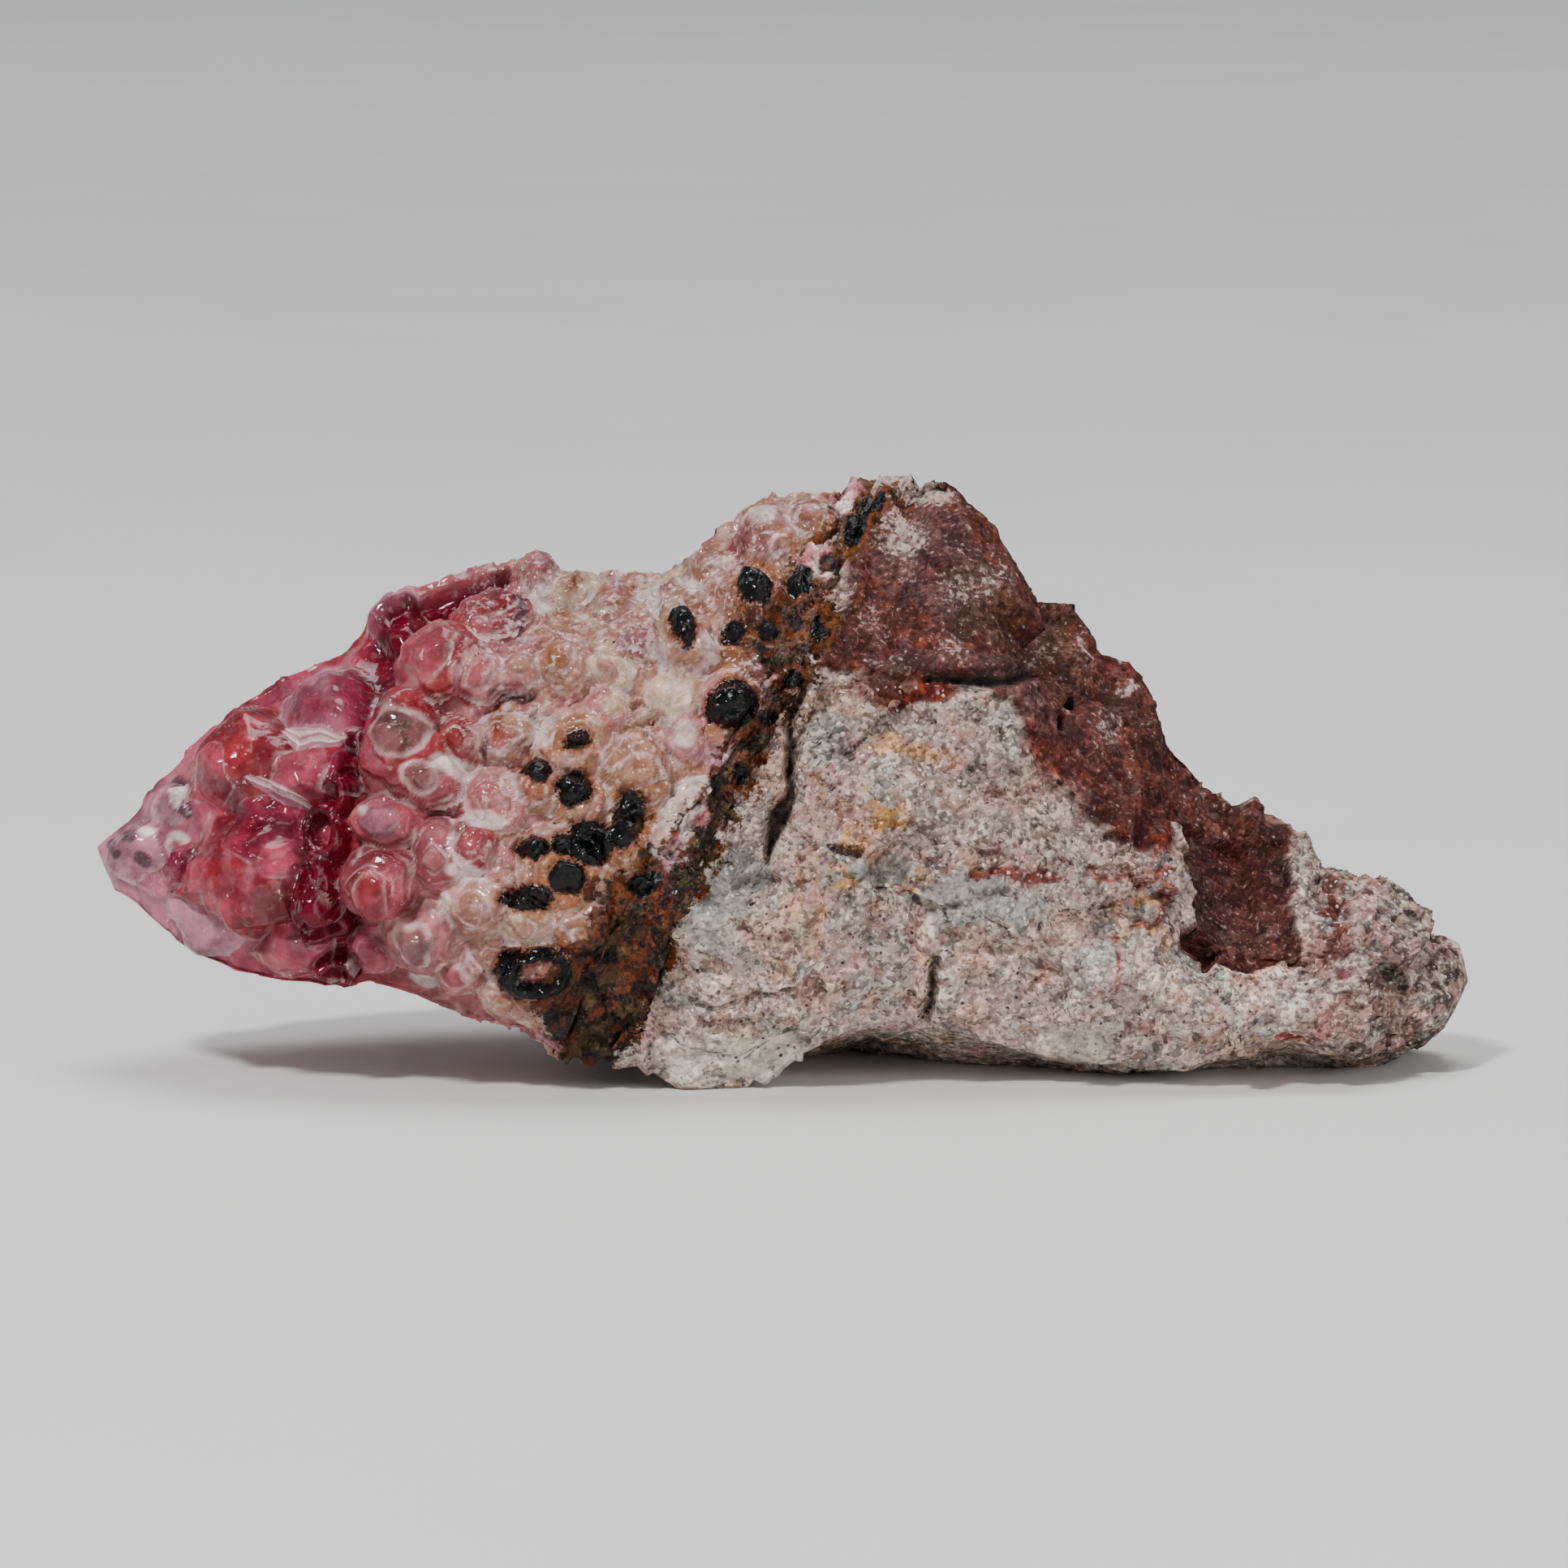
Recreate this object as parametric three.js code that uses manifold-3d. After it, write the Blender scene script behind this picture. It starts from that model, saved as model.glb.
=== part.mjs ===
// A cobaltoan calcite druse on its host rock, as one loose cabinet specimen.
// Units are millimetres and +Z is up. X runs from the pointed calcite tip (-X) to the rock's tail (+X).
// -Y is the broken face that shows the calcite's banded nodules, +Y is the back with its drusy crystals.
// The origin is at the middle of the footprint, on the surface that the flat underside rests on.
//
// Three layers grew on each other and meet at two tilted contacts:
//   calcite_crust  nodules, glassy folds and flat-faced rhombohedral crystals, all grown together
//   oxide_seam     a thin, rough layer of iron and cobalt oxides
//   host_rock      a blocky, sugary rock with a weathered upper slope and a trimmed underside
//
// Every outer surface is one skin: a ring of seven corners that is carried along X by guide rails, and is
// then pushed out or in along its normal by nodules, facets, hollows and lumps.

import * as THREE from "three";
import { ParametricGeometry } from "three/addons/geometries/ParametricGeometry.js";
import { mergeVertices } from "three/addons/utils/BufferGeometryUtils.js";
import Module from "manifold-3d";

const wasm = await Module();
wasm.setup();

// ---------------------------------------------------------------- driving dimensions

const TIP_X = -50; // the calcite's pointed end
const TAIL_X = 50; // the rock's thin end
const LAYER_GAP = 0.3; // clearance between two layers at their contact
// How far the ring's corners are rounded, from 0 for straight facets to 1 for a smooth curve: the calcite
// grew round and the rock broke angular, and the change between them runs from ROUND_TO_X to ANGULAR_FROM_X.
const CALCITE_ROUNDING = 0.6;
const ROCK_ROUNDING = 0.25;
const ROUND_TO_X = -10;
const ANGULAR_FROM_X = 6;

// Guide rails, as [x, value] pairs. The two edges are broken and angular: they run straight between points.
const TOP_EDGE = [
  [-50, 16], [-47, 19.6], [-44, 23.4], [-40, 27], [-32.6, 30.7], [-29, 35], [-18, 37.9], [-15.4, 36.2],
  [-9, 36.6], [-6.2, 37.8], [-1.6, 42], [8, 42.6], [11, 43.9], [12.6, 43.3], [15.6, 39.4], [17.2, 34.2],
  [21.9, 33], [23.6, 29.7], [25.5, 29.3], [29.5, 23.5], [34, 17.8], [37, 15.4], [38.7, 13.4],
  [43.7, 13.4], [47.5, 10.3], [49.4, 8.8], [50, 6],
];
const BOTTOM_EDGE = [
  [-50, 16], [-48.8, 13], [-44.2, 9.3], [-39.7, 7.4], [-33, 6.3], [-29.8, 7], [-26.5, 6.1], [-22, 4.3],
  [-18.9, 3.4], [-16.4, 1.6], [-10.4, 2.4], [-7.3, 0.5], [-2.4, -0.4], [0.6, 2.2], [6, 4.8], [9, 4.8],
  [11, 3.6], [20, 1.8], [29, 0.8], [33.6, 2.4], [36.6, 3.2], [39, 2.2], [44.5, 0.8], [47, 1.4], [50, 6],
];
// Where the underside meets the back: over the middle it lies below the resting plane and is trimmed flat.
const BACK_FOOT = [[-50, 16], [-46, 12], [-30, 8.5], [-18, 5], [-8, -1.8], [43, -1.8], [48, 2.5], [50, 6]];
const FRONT_Y = [
  [-50, -2], [-48.5, -5.5], [-45, -8.5], [-38, -12.5], [-30, -15.5], [-20, -17.2], [-10, -17.4],
  [0, -16.5], [10, -16], [20, -15], [30, -14], [38, -12.5], [44, -10], [48, -6.5], [50, -1],
];
const BACK_Y = [
  [-50, -2], [-48.5, 1], [-45, 4], [-38, 8.5], [-30, 12.5], [-20, 15.4], [-10, 16.9], [0, 17.3],
  [10, 17], [20, 15.5], [30, 13], [38, 10.5], [44, 8], [48, 4.5], [50, -1],
];
const CREST_Y = [
  [-50, -2], [-38, -1], [-25, 1], [-10, 2.5], [2, 3.5], [10, 4], [20, 4], [30, 3], [40, 1.5], [50, -1],
];
// Height at which the front face turns into the upper slope.
const RIDGE_Z = [
  [-50, 16], [-47, 17.2], [-40, 22.5], [-32, 25.5], [-24, 30], [-14, 31], [-4, 31.5], [2, 31], [10, 30.2],
  [16, 28.6], [20, 22], [24, 18.4], [28, 16], [31, 10.5], [36, 9.5], [42, 9.5], [47, 7], [50, 6],
];

// The contact between two layers is the tilted sheet x = CONTACT_X + CONTACT_LEAN * z + CONTACT_TURN * y.
const CONTACT_X = -11.6;
const CONTACT_LEAN = 0.44;
const CONTACT_TURN = 0.08;

// Share of the way round the ring between one corner and the next, starting at the crest and going
// over the front: crest, ridge, front bulge, front foot, back foot, back bulge, back shoulder.
const RING_SHARES = [0.19, 0.24, 0.15, 0.13, 0.1, 0.1, 0.09];

// Grid sizes of the skins.
const ROUND_STEPS = 48;
const CRUST_ALONG = 38;
const SEAM_ALONG = 2;
const ROCK_ALONG = 32;
const CAP_ROWS = 3;

// Nodules and crystals of the broken face, as [x, z, radius, relief]. The relief is multiplied by SWELL and
// stands on a ground that lies CRUST_GROUND below the skin. Nodules run into each other: their domes reach
// NODULE_SPREAD times their radius.
const SWELL = 1.6;
const CRUST_GROUND = 0.7;
const NODULE_SPREAD = 1.15;
const FACE_FOOT = 0.58; // share of the way round at which the broken face ends below
const GLASSY_CRYSTALS = [
  [-47.4, 16.4, 2.3, 0.9], [-44.6, 20, 1.9, 0.8], [-39.3, 23.6, 4.2, 1.8], [-33.2, 27.3, 3.3, 1.5],
  [-35.2, 22.6, 2.1, 1.3], [-38.6, 15.2, 4.9, 2.2], [-43.7, 15.6, 1.6, 0.8], [-42, 11.4, 2.7, 0.9],
  [-35.2, 10, 2.9, 1.1], [-28.3, 33.2, 2.4, 1.0], [-31.9, 22.6, 1.7, 0.6],
];
const GLASSY_FOLDS = [
  [-33, 19, 2.2, 0.9], [-32.9, 15.2, 1.4, 0.6], [-32.7, 12, 1.8, 0.9], [-32.1, 8.6, 1.7, 0.8],
];
const BANDED_NODULES = [
  [-24.8, 31, 3.3, 1.7], [-27.6, 24.7, 3.8, 1.9], [-24.9, 22.4, 2.1, 1.5], [-23.2, 25.6, 1.7, 1.3],
  [-28.6, 19.5, 2.1, 1.3], [-29.1, 15, 2.8, 1.4], [-25.7, 11, 2.9, 1.5], [-29.4, 9.6, 1.7, 0.8],
  [-21.2, 33.6, 2.9, 1.3], [-17.9, 36.2, 1.9, 1], [-22.2, 18.2, 1.9, 1.1], [-20.5, 21.4, 2.3, 0.9],
  [-24.7, 17.4, 2.3, 1.1], [-15.1, 34.9, 1.9, 1], [-12.6, 34.6, 1.7, 0.9], [-16, 31, 2.2, 1.1],
  [-21.6, 29.9, 1.8, 1], [-19, 30.6, 1.7, 0.9], [-12.4, 30.2, 1.7, 0.9], [-12.6, 27.6, 1.8, 1],
  [-20, 26, 1.9, 1], [-15.2, 25.4, 2.5, 1.1], [-17.4, 22, 1.9, 1], [-14.7, 21, 2.1, 1],
  [-10.4, 23.6, 2.9, 1.5], [-7.3, 32.3, 2.5, 1.4], [-3.8, 27.2, 2.7, 1.3], [-2.3, 35.2, 2.1, 1.1],
  [-5.8, 36.4, 1.8, 0.8], [-1.2, 39.3, 2.7, 1.2], [2, 39.7, 2.3, 1], [-7.6, 28.2, 1.9, 1],
  [-7.2, 25.7, 1.8, 0.9], [-6.6, 21, 2.1, 1.1], [-7.4, 18.4, 1.9, 1], [-15.8, 16.4, 2.8, 1.1],
  [-11.2, 18.6, 2.2, 1.2], [-18.4, 12.8, 2.1, 0.9], [-22, 13.6, 2.3, 1.1], [-20.6, 10.2, 1.8, 0.8],
  [-17.9, 9.2, 3.2, 1.3], [-23.3, 8.7, 2, 1], [-14.2, 12, 2.3, 0.9], [-12.4, 8.6, 2.3, 0.9],
  [-15.2, 5.6, 2.2, 0.9], [-20.2, 6.6, 1.9, 0.8], [-8.8, 35, 1.7, 0.7], [-10.2, 32.6, 1.6, 0.7],
];

// Rhombohedral crystals scattered over the calcite's back.
const DRUSE_COUNT = 50;
const DRUSE_RADIUS = [2.6, 4.4];
const DRUSE_X = [-43.5, -6];
const DRUSE_ROUND = [0.7, 0.94];
const RHOMB_HEIGHT = 0.85; // height along the three-fold axis against a cube stood on its corner
const RHOMB_SINK = 0.15; // share of its radius that a crystal's middle lies below the skin

const JOIN_TOLERANCE = 0.06; // slivers thinner than this are cleaned from the joined crystals

// Hollows of the rock, as [x, y, z, radius along x, radius along z, depth].
const HOLLOWS = [
  [33.4, -9, 12.5, 3.4, 5.2, 2.4],
  [38, -9, 8.5, 2.6, 1.8, 1.4],
  [8.6, -14, 1.5, 3.6, 3.2, 1.2],
  [-2.2, -16, 15, 1.4, 9, 1.1],
  [24, 12, 14, 6, 5, 1.6],
  [2, 17, 24, 7, 5, 1.5],
];

// ---------------------------------------------------------------- numbers and noise

const clamp = THREE.MathUtils.clamp;
const lerp = THREE.MathUtils.lerp;
const smoothstep = (t) => THREE.MathUtils.smoothstep(t, 0, 1);

// A repeatable number from 0 to 1 for three whole numbers and a seed.
function hash(i, j, k, seed) {
  const value = Math.sin(i * 12.9898 + j * 78.233 + k * 37.719 + seed * 53.17) * 43758.5453;
  return value - Math.floor(value);
}

// Smooth lattice noise from -1 to 1.
function noise(point, seed) {
  const [i, j, k] = [Math.floor(point.x), Math.floor(point.y), Math.floor(point.z)];
  const [a, b, c] = [smoothstep(point.x - i), smoothstep(point.y - j), smoothstep(point.z - k)];
  const edge = (dj, dk) => lerp(hash(i, j + dj, k + dk, seed), hash(i + 1, j + dj, k + dk, seed), a);
  const face = (dk) => lerp(edge(0, dk), edge(1, dk), b);
  return 2 * lerp(face(0), face(1), c) - 1;
}

// Chipped facets, about -1 to 1: each point takes the tilted plane of the cell whose seed point is nearest.
function chips(point, seed) {
  const base = [Math.floor(point.x), Math.floor(point.y), Math.floor(point.z)];
  let nearest = Infinity;
  let height = 0;
  for (let di = -1; di <= 1; di++)
    for (let dj = -1; dj <= 1; dj++)
      for (let dk = -1; dk <= 1; dk++) {
        const cell = [base[0] + di, base[1] + dj, base[2] + dk];
        const off = [0, 1, 2].map((n) => point.getComponent(n) - cell[n] - hash(...cell, seed + n));
        const away = Math.hypot(...off);
        if (away >= nearest) continue;
        nearest = away;
        const tilt = off.reduce((sum, o, n) => sum + o * (hash(...cell, seed + 3 + n) - 0.5), 0);
        height = 1.6 * tilt + hash(...cell, seed + 6) - 0.5;
      }
  return height;
}

// A rail's value at x, straight between its points.
function straight(rail, x) {
  const n = clamp(rail.findIndex((p) => p[0] > x), 1, rail.length - 1);
  const last = x >= rail[rail.length - 1][0] ? rail.length - 1 : n;
  const [[xa, a], [xb, b]] = [rail[last - 1], rail[last]];
  return lerp(a, b, clamp((x - xa) / (xb - xa), 0, 1));
}

// A rail's value at x, on a smooth curve through its points.
function curved(rail, x) {
  const found = rail.findIndex((p) => p[0] > x);
  const n = found < 0 ? rail.length - 1 : Math.max(found, 1);
  const slope = (m) => {
    const [before, after] = [rail[Math.max(m - 1, 0)], rail[Math.min(m + 1, rail.length - 1)]];
    return (after[1] - before[1]) / (after[0] - before[0]);
  };
  const [[xa, a], [xb, b]] = [rail[n - 1], rail[n]];
  const width = xb - xa;
  const t = clamp((x - xa) / width, 0, 1);
  const bend = t * (1 - t) * width;
  return lerp(a, b, smoothstep(t)) + bend * ((1 - t) * slope(n - 1) - t * slope(n));
}

// ---------------------------------------------------------------- the undisturbed skin

// The ring's seven corners at x, as [y, z] pairs.
function ringCorners(x) {
  const [top, bottom] = [straight(TOP_EDGE, x), straight(BOTTOM_EDGE, x)];
  const [front, back] = [curved(FRONT_Y, x), curved(BACK_Y, x)];
  const ridge = clamp(curved(RIDGE_Z, x), lerp(bottom, top, 0.5), lerp(bottom, top, 0.86));
  const [high, deep] = [top - bottom, back - front];
  return [
    [curved(CREST_Y, x), top],
    [front + 0.15 * deep, ridge],
    [front, lerp(bottom, ridge, 0.38)],
    [front + 0.15 * deep, bottom],
    [back - 0.26 * deep, straight(BACK_FOOT, x)],
    [back, bottom + 0.38 * high],
    [back - 0.2 * deep, bottom + 0.76 * high],
  ];
}

// A point of the undisturbed skin, at x and a share of the way round.
function skin(x, round) {
  const corners = ringCorners(x);
  let n = 0;
  let left = round - Math.floor(round);
  while (n < 6 && left > RING_SHARES[n]) {
    left -= RING_SHARES[n];
    n += 1;
  }
  const t = clamp(left / RING_SHARES[n], 0, 1);
  const angular = smoothstep(clamp((x - ROUND_TO_X) / (ANGULAR_FROM_X - ROUND_TO_X), 0, 1));
  const rounding = lerp(CALCITE_ROUNDING, ROCK_ROUNDING, angular);
  const [p, q, r, s] = [6, 0, 1, 2].map((d) => corners[(n + d) % 7]);
  const coordinate = (c) => {
    const line = lerp(q[c], r[c], t);
    const pull = t * (1 - t) * 0.5 * ((1 - t) * (2 * q[c] - r[c] - p[c]) * -1 - t * (s[c] - 2 * r[c] + q[c]));
    return line + rounding * pull;
  };
  return new THREE.Vector3(x, coordinate(0), coordinate(1));
}

const STEP_X = 0.4;
const STEP_ROUND = 0.01;

// The skin's outward direction.
function outward(x, round) {
  const [xa, xb] = [Math.max(x - STEP_X, TIP_X + 0.05), Math.min(x + STEP_X, TAIL_X - 0.05)];
  const along = skin(xb, round).sub(skin(xa, round));
  const about = skin(x, round + STEP_ROUND).sub(skin(x, round - STEP_ROUND));
  return about.cross(along).normalize();
}

const FACE_STEP = 0.004;

// The skin point of the broken face at x and z.
function onFace(x, z) {
  let best = skin(x, 0);
  for (let round = 0; round < FACE_FOOT; round += FACE_STEP) {
    const p = skin(x, round);
    if (Math.abs(p.z - z) < Math.abs(best.z - z)) best = p;
  }
  return best;
}

// ---------------------------------------------------------------- relief of each layer

const seated = (list) => list.map(([x, z, radius, relief]) => ({ centre: onFace(x, z), radius, relief }));
const CRYSTALS = seated(GLASSY_CRYSTALS);
const spread = ([x, z, radius, relief]) => [x, z, NODULE_SPREAD * radius, relief];
const ROUND_LUMPS = seated([...GLASSY_FOLDS, ...BANDED_NODULES.map(spread)]);

// Distance from a crystal's middle in its own radii, measured square to its flat faces.
const CRYSTAL_SIDES = 5;
function facetDistance(offset, crystal, n) {
  let most = 0;
  for (let face = 0; face < CRYSTAL_SIDES; face++) {
    const angle = (6.283 / CRYSTAL_SIDES) * (face + 0.5 * hash(n, face, 0, 5));
    const [c, s] = [Math.cos(angle), Math.sin(angle)];
    most = Math.max(most, c * offset.x + s * offset.z);
  }
  return Math.hypot(most, 0.6 * offset.y) / crystal.radius;
}

// Height of the calcite above its skin: each nodule is a dome and each crystal a flat-topped pyramid, and
// where two meet the nearer one wins, which leaves the crease between them.
function crustRelief(point) {
  let nearest = 1;
  let height = 0;
  const offset = new THREE.Vector3();
  ROUND_LUMPS.forEach(({ centre, radius, relief }) => {
    const t = offset.subVectors(point, centre).length() / radius;
    if (t >= nearest) return;
    nearest = t;
    height = relief * Math.sqrt(1 - t * t);
  });
  CRYSTALS.forEach((crystal, n) => {
    const t = facetDistance(offset.subVectors(point, crystal.centre), crystal, n);
    if (t >= nearest) return;
    nearest = t;
    height = crystal.relief * Math.min(1.35 * (1 - t), 0.8);
  });
  const rough = 0.35 * noise(point.clone().multiplyScalar(0.35), 11);
  return SWELL * height - CRUST_GROUND + rough;
}

function seamRelief(point) {
  return 0.5 * noise(point.clone().multiplyScalar(0.7), 21) - 0.5;
}

function rockRelief(point) {
  const hollow = HOLLOWS.reduce((sum, [x, y, z, wide, high, depth]) => {
    const [a, b, c] = [(point.x - x) / wide, (point.z - z) / high, (point.y - y) / 7];
    return sum + depth * Math.exp(-a * a - b * b - c * c);
  }, 0);
  const lumps = 0.9 * noise(point.clone().multiplyScalar(0.13), 31);
  const ledges = 1.9 * chips(point.clone().multiplyScalar(0.11), 41);
  return lumps + ledges - hollow;
}

const END_FADE = 3; // length over which the relief fades out at the two ends

// The finished skin: the undisturbed one moved outwards by the layer's relief, which fades out at the two
// ends, and cut off at the resting plane.
function finished(relief, x, round) {
  const p = skin(x, round);
  const fade = smoothstep(clamp(Math.min(x - TIP_X, TAIL_X - x) / END_FADE, 0, 1));
  p.addScaledVector(outward(x, round), fade * relief(p));
  p.z = Math.max(p.z, 0);
  return p;
}

// ---------------------------------------------------------------- contacts between layers

const seamThickness = (z) => 2.6 + 2.6 * Math.exp(-(((z - 9) / 9) ** 2));
const rockContact = (y, z) => CONTACT_X + CONTACT_LEAN * z + CONTACT_TURN * y;
const crustContact = (y, z) => rockContact(y, z) - seamThickness(z);

// The x at which a layer's finished skin runs into a contact sheet moved by shift.
const CONTACT_STEPS = 12;
function rimX(relief, contact, shift, round) {
  let x = contact(0, 18) + shift;
  for (let n = 0; n < CONTACT_STEPS; n++) {
    const p = finished(relief, x, round);
    x += 0.8 * (contact(p.y, p.z) + shift - p.x);
  }
  return x;
}

// A point of the contact sheet, from the rim (share 0) to the sheet's middle (share 1).
const CONTACT_MIDDLE = { y: 0, z: 19 };
function onContact(contact, shift, rim, share) {
  const [y, z] = [lerp(rim.y, CONTACT_MIDDLE.y, share), lerp(rim.z, CONTACT_MIDDLE.z, share)];
  return new THREE.Vector3(contact(y, z) + shift, y, z);
}

// ---------------------------------------------------------------- closed solids

// A layer's closed surface. Its rows run along x, with CAP_ROWS more over each contact sheet.
function layer({ relief, from, to, along }) {
  const startRows = from.contact ? CAP_ROWS : 0;
  const endRows = to.contact ? CAP_ROWS : 0;
  const rows = startRows + along + endRows;
  const edgeX = (end, about) => (end.contact ? rimX(relief, end.contact, end.shift, about) : end.x);
  const spans = Array.from({ length: ROUND_STEPS }, (_, n) =>
    [from, to].map((end) => edgeX(end, n / ROUND_STEPS)),
  );
  const surface = (u, v, target) => {
    const column = Math.round(u * ROUND_STEPS) % ROUND_STEPS;
    const about = column / ROUND_STEPS;
    const row = Math.round(v * rows);
    const [xa, xb] = spans[column];
    const share = clamp((row - startRows) / along, 0, 1);
    const p = finished(relief, lerp(xa, xb, share), about);
    if (row < startRows) p.copy(onContact(from.contact, from.shift, p, (startRows - row) / CAP_ROWS));
    const past = row - startRows - along;
    if (past > 0) p.copy(onContact(to.contact, to.shift, p, past / CAP_ROWS));
    target.copy(p);
  };
  return solid(new ParametricGeometry(surface, ROUND_STEPS, rows));
}

// A closed geometry as a solid, with its shared vertices merged and its empty triangles left out.
function solid(geometry) {
  geometry.deleteAttribute("normal");
  geometry.deleteAttribute("uv");
  const merged = mergeVertices(geometry, 1e-4);
  const corners = merged.index.array;
  const kept = [];
  for (let n = 0; n < corners.length; n += 3) {
    const [a, b, c] = [corners[n], corners[n + 1], corners[n + 2]];
    if (a !== b && b !== c && c !== a) kept.push(a, b, c);
  }
  return new wasm.Manifold(
    new wasm.Mesh({
      numProp: 3,
      vertProperties: merged.attributes.position.array,
      triVerts: new Uint32Array(kept),
    }),
  );
}

// A rhombohedron, which is a cube stood on its corner and drawn out or pressed along that diagonal.
function rhombohedron(radius) {
  const side = (2 * radius) / Math.sqrt(3);
  const geometry = new THREE.BoxGeometry(side, side, side);
  const upright = new THREE.Quaternion().setFromUnitVectors(
    new THREE.Vector3(1, 1, 1).normalize(),
    new THREE.Vector3(0, 0, 1),
  );
  geometry.applyQuaternion(upright);
  geometry.scale(1, 1, RHOMB_HEIGHT);
  return geometry;
}

// The drusy crystals: an even scatter over the back, each one stood along the skin's outward direction
// with a turn and a small lean of its own. None reaches over the contact with the oxide seam.
const SCATTER_X = 0.7549;
const SCATTER_ROUND = 0.5698;
function druseCrystals() {
  const up = new THREE.Vector3(0, 0, 1);
  return Array.from({ length: DRUSE_COUNT }, (_, n) => {
    const x = lerp(...DRUSE_X, (n * SCATTER_X) % 1);
    const round = lerp(...DRUSE_ROUND, (n * SCATTER_ROUND) % 1);
    const thin = smoothstep((x - TIP_X) / 16);
    const radius = lerp(...DRUSE_RADIUS, hash(n, 1, 0, 3)) * lerp(0.55, 1, thin);
    const lean = new THREE.Vector3(hash(n, 2, 0, 3) - 0.5, hash(n, 3, 0, 3) - 0.5, hash(n, 4, 0, 3) - 0.5);
    const direction = outward(x, round).addScaledVector(lean, 0.7).normalize();
    const centre = skin(x, round).addScaledVector(outward(x, round), -CRUST_GROUND - RHOMB_SINK * radius);
    if (centre.x + radius > crustContact(centre.y, centre.z) || centre.z < radius) return null;
    const geometry = rhombohedron(radius);
    geometry.applyQuaternion(new THREE.Quaternion().setFromAxisAngle(up, 6.283 * hash(n, 5, 0, 3)));
    geometry.applyQuaternion(new THREE.Quaternion().setFromUnitVectors(up, direction));
    geometry.translate(...centre.toArray());
    return solid(geometry);
  }).filter(Boolean);
}

function meshOf(name, made, colour, roughness) {
  const { vertProperties, triVerts } = made.getMesh();
  const geometry = new THREE.BufferGeometry();
  geometry.setAttribute("position", new THREE.BufferAttribute(Float32Array.from(vertProperties), 3));
  geometry.setIndex(new THREE.BufferAttribute(Uint32Array.from(triVerts), 1));
  const faceted = geometry.toNonIndexed();
  faceted.computeVertexNormals();
  const material = new THREE.MeshStandardMaterial({ color: colour, roughness, metalness: 0 });
  const mesh = new THREE.Mesh(faceted, material);
  mesh.name = name;
  return mesh;
}

// ---------------------------------------------------------------- the specimen

const crust = layer({
  relief: crustRelief,
  from: { x: TIP_X },
  to: { contact: crustContact, shift: 0 },
  along: CRUST_ALONG,
});
const seam = layer({
  relief: seamRelief,
  from: { contact: crustContact, shift: LAYER_GAP },
  to: { contact: rockContact, shift: -LAYER_GAP },
  along: SEAM_ALONG,
});
const rock = layer({
  relief: rockRelief,
  from: { contact: rockContact, shift: 0 },
  to: { x: TAIL_X },
  along: ROCK_ALONG,
});
const druse = druseCrystals().reduce((whole, crystal) => whole.add(crystal), crust).simplify(JOIN_TOLERANCE);

const specimen = new THREE.Group();
specimen.add(meshOf("calcite_crust", druse, 0xc06a72, 0.25));
specimen.add(meshOf("oxide_seam", seam, 0x3a2315, 0.75));
specimen.add(meshOf("host_rock", rock, 0x9a8f88, 0.85));

export default specimen;
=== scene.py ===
"""A cobaltoan calcite druse on its host rock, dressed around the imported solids.

Three finished skins stand for the three solids: the calcite crust, the oxide seam and the host rock. Each is a
ring of seven corners carried along X by guide rails, and pushed along its normal by a relief worked out with
numpy. Lengths in the tables are millimetres in the solids' frame: -Y is the broken face, +Z is up.
"""

import math

import bmesh
import bpy
import numpy as np
from bpy.props import FloatProperty, FloatVectorProperty, IntProperty, PointerProperty
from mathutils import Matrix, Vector


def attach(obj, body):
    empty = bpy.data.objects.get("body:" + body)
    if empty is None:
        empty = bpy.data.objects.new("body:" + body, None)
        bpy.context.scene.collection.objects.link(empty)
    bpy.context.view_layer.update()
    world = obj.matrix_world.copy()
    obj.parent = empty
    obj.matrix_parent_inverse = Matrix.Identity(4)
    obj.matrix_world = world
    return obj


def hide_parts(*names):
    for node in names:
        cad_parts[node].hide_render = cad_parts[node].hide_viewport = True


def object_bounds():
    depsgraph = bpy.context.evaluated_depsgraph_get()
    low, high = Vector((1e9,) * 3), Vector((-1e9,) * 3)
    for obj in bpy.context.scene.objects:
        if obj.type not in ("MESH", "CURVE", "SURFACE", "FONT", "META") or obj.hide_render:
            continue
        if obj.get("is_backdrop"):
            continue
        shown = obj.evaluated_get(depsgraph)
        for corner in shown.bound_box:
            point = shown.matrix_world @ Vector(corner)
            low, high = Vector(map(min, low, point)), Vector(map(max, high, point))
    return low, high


bl_info = {
    "name": "Cobaltoan calcite druse",
    "version": (1, 0, 0),
    "blender": (4, 5, 0),
    "location": "View3D > Sidebar > Druse",
    "description": "Builds a druse of pink calcite on its host rock, and a plain studio for it",
    "category": "Object",
}

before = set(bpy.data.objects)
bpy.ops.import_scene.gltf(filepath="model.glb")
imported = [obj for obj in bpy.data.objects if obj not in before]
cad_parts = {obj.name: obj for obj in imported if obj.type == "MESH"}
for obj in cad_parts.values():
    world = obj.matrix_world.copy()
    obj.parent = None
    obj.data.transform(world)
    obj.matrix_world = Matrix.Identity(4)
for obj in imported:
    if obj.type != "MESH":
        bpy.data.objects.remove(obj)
CAD_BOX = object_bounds()

MM = 0.001
BODY = "root"

# ------------------------------------ guide rails, as the solids have them

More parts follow.
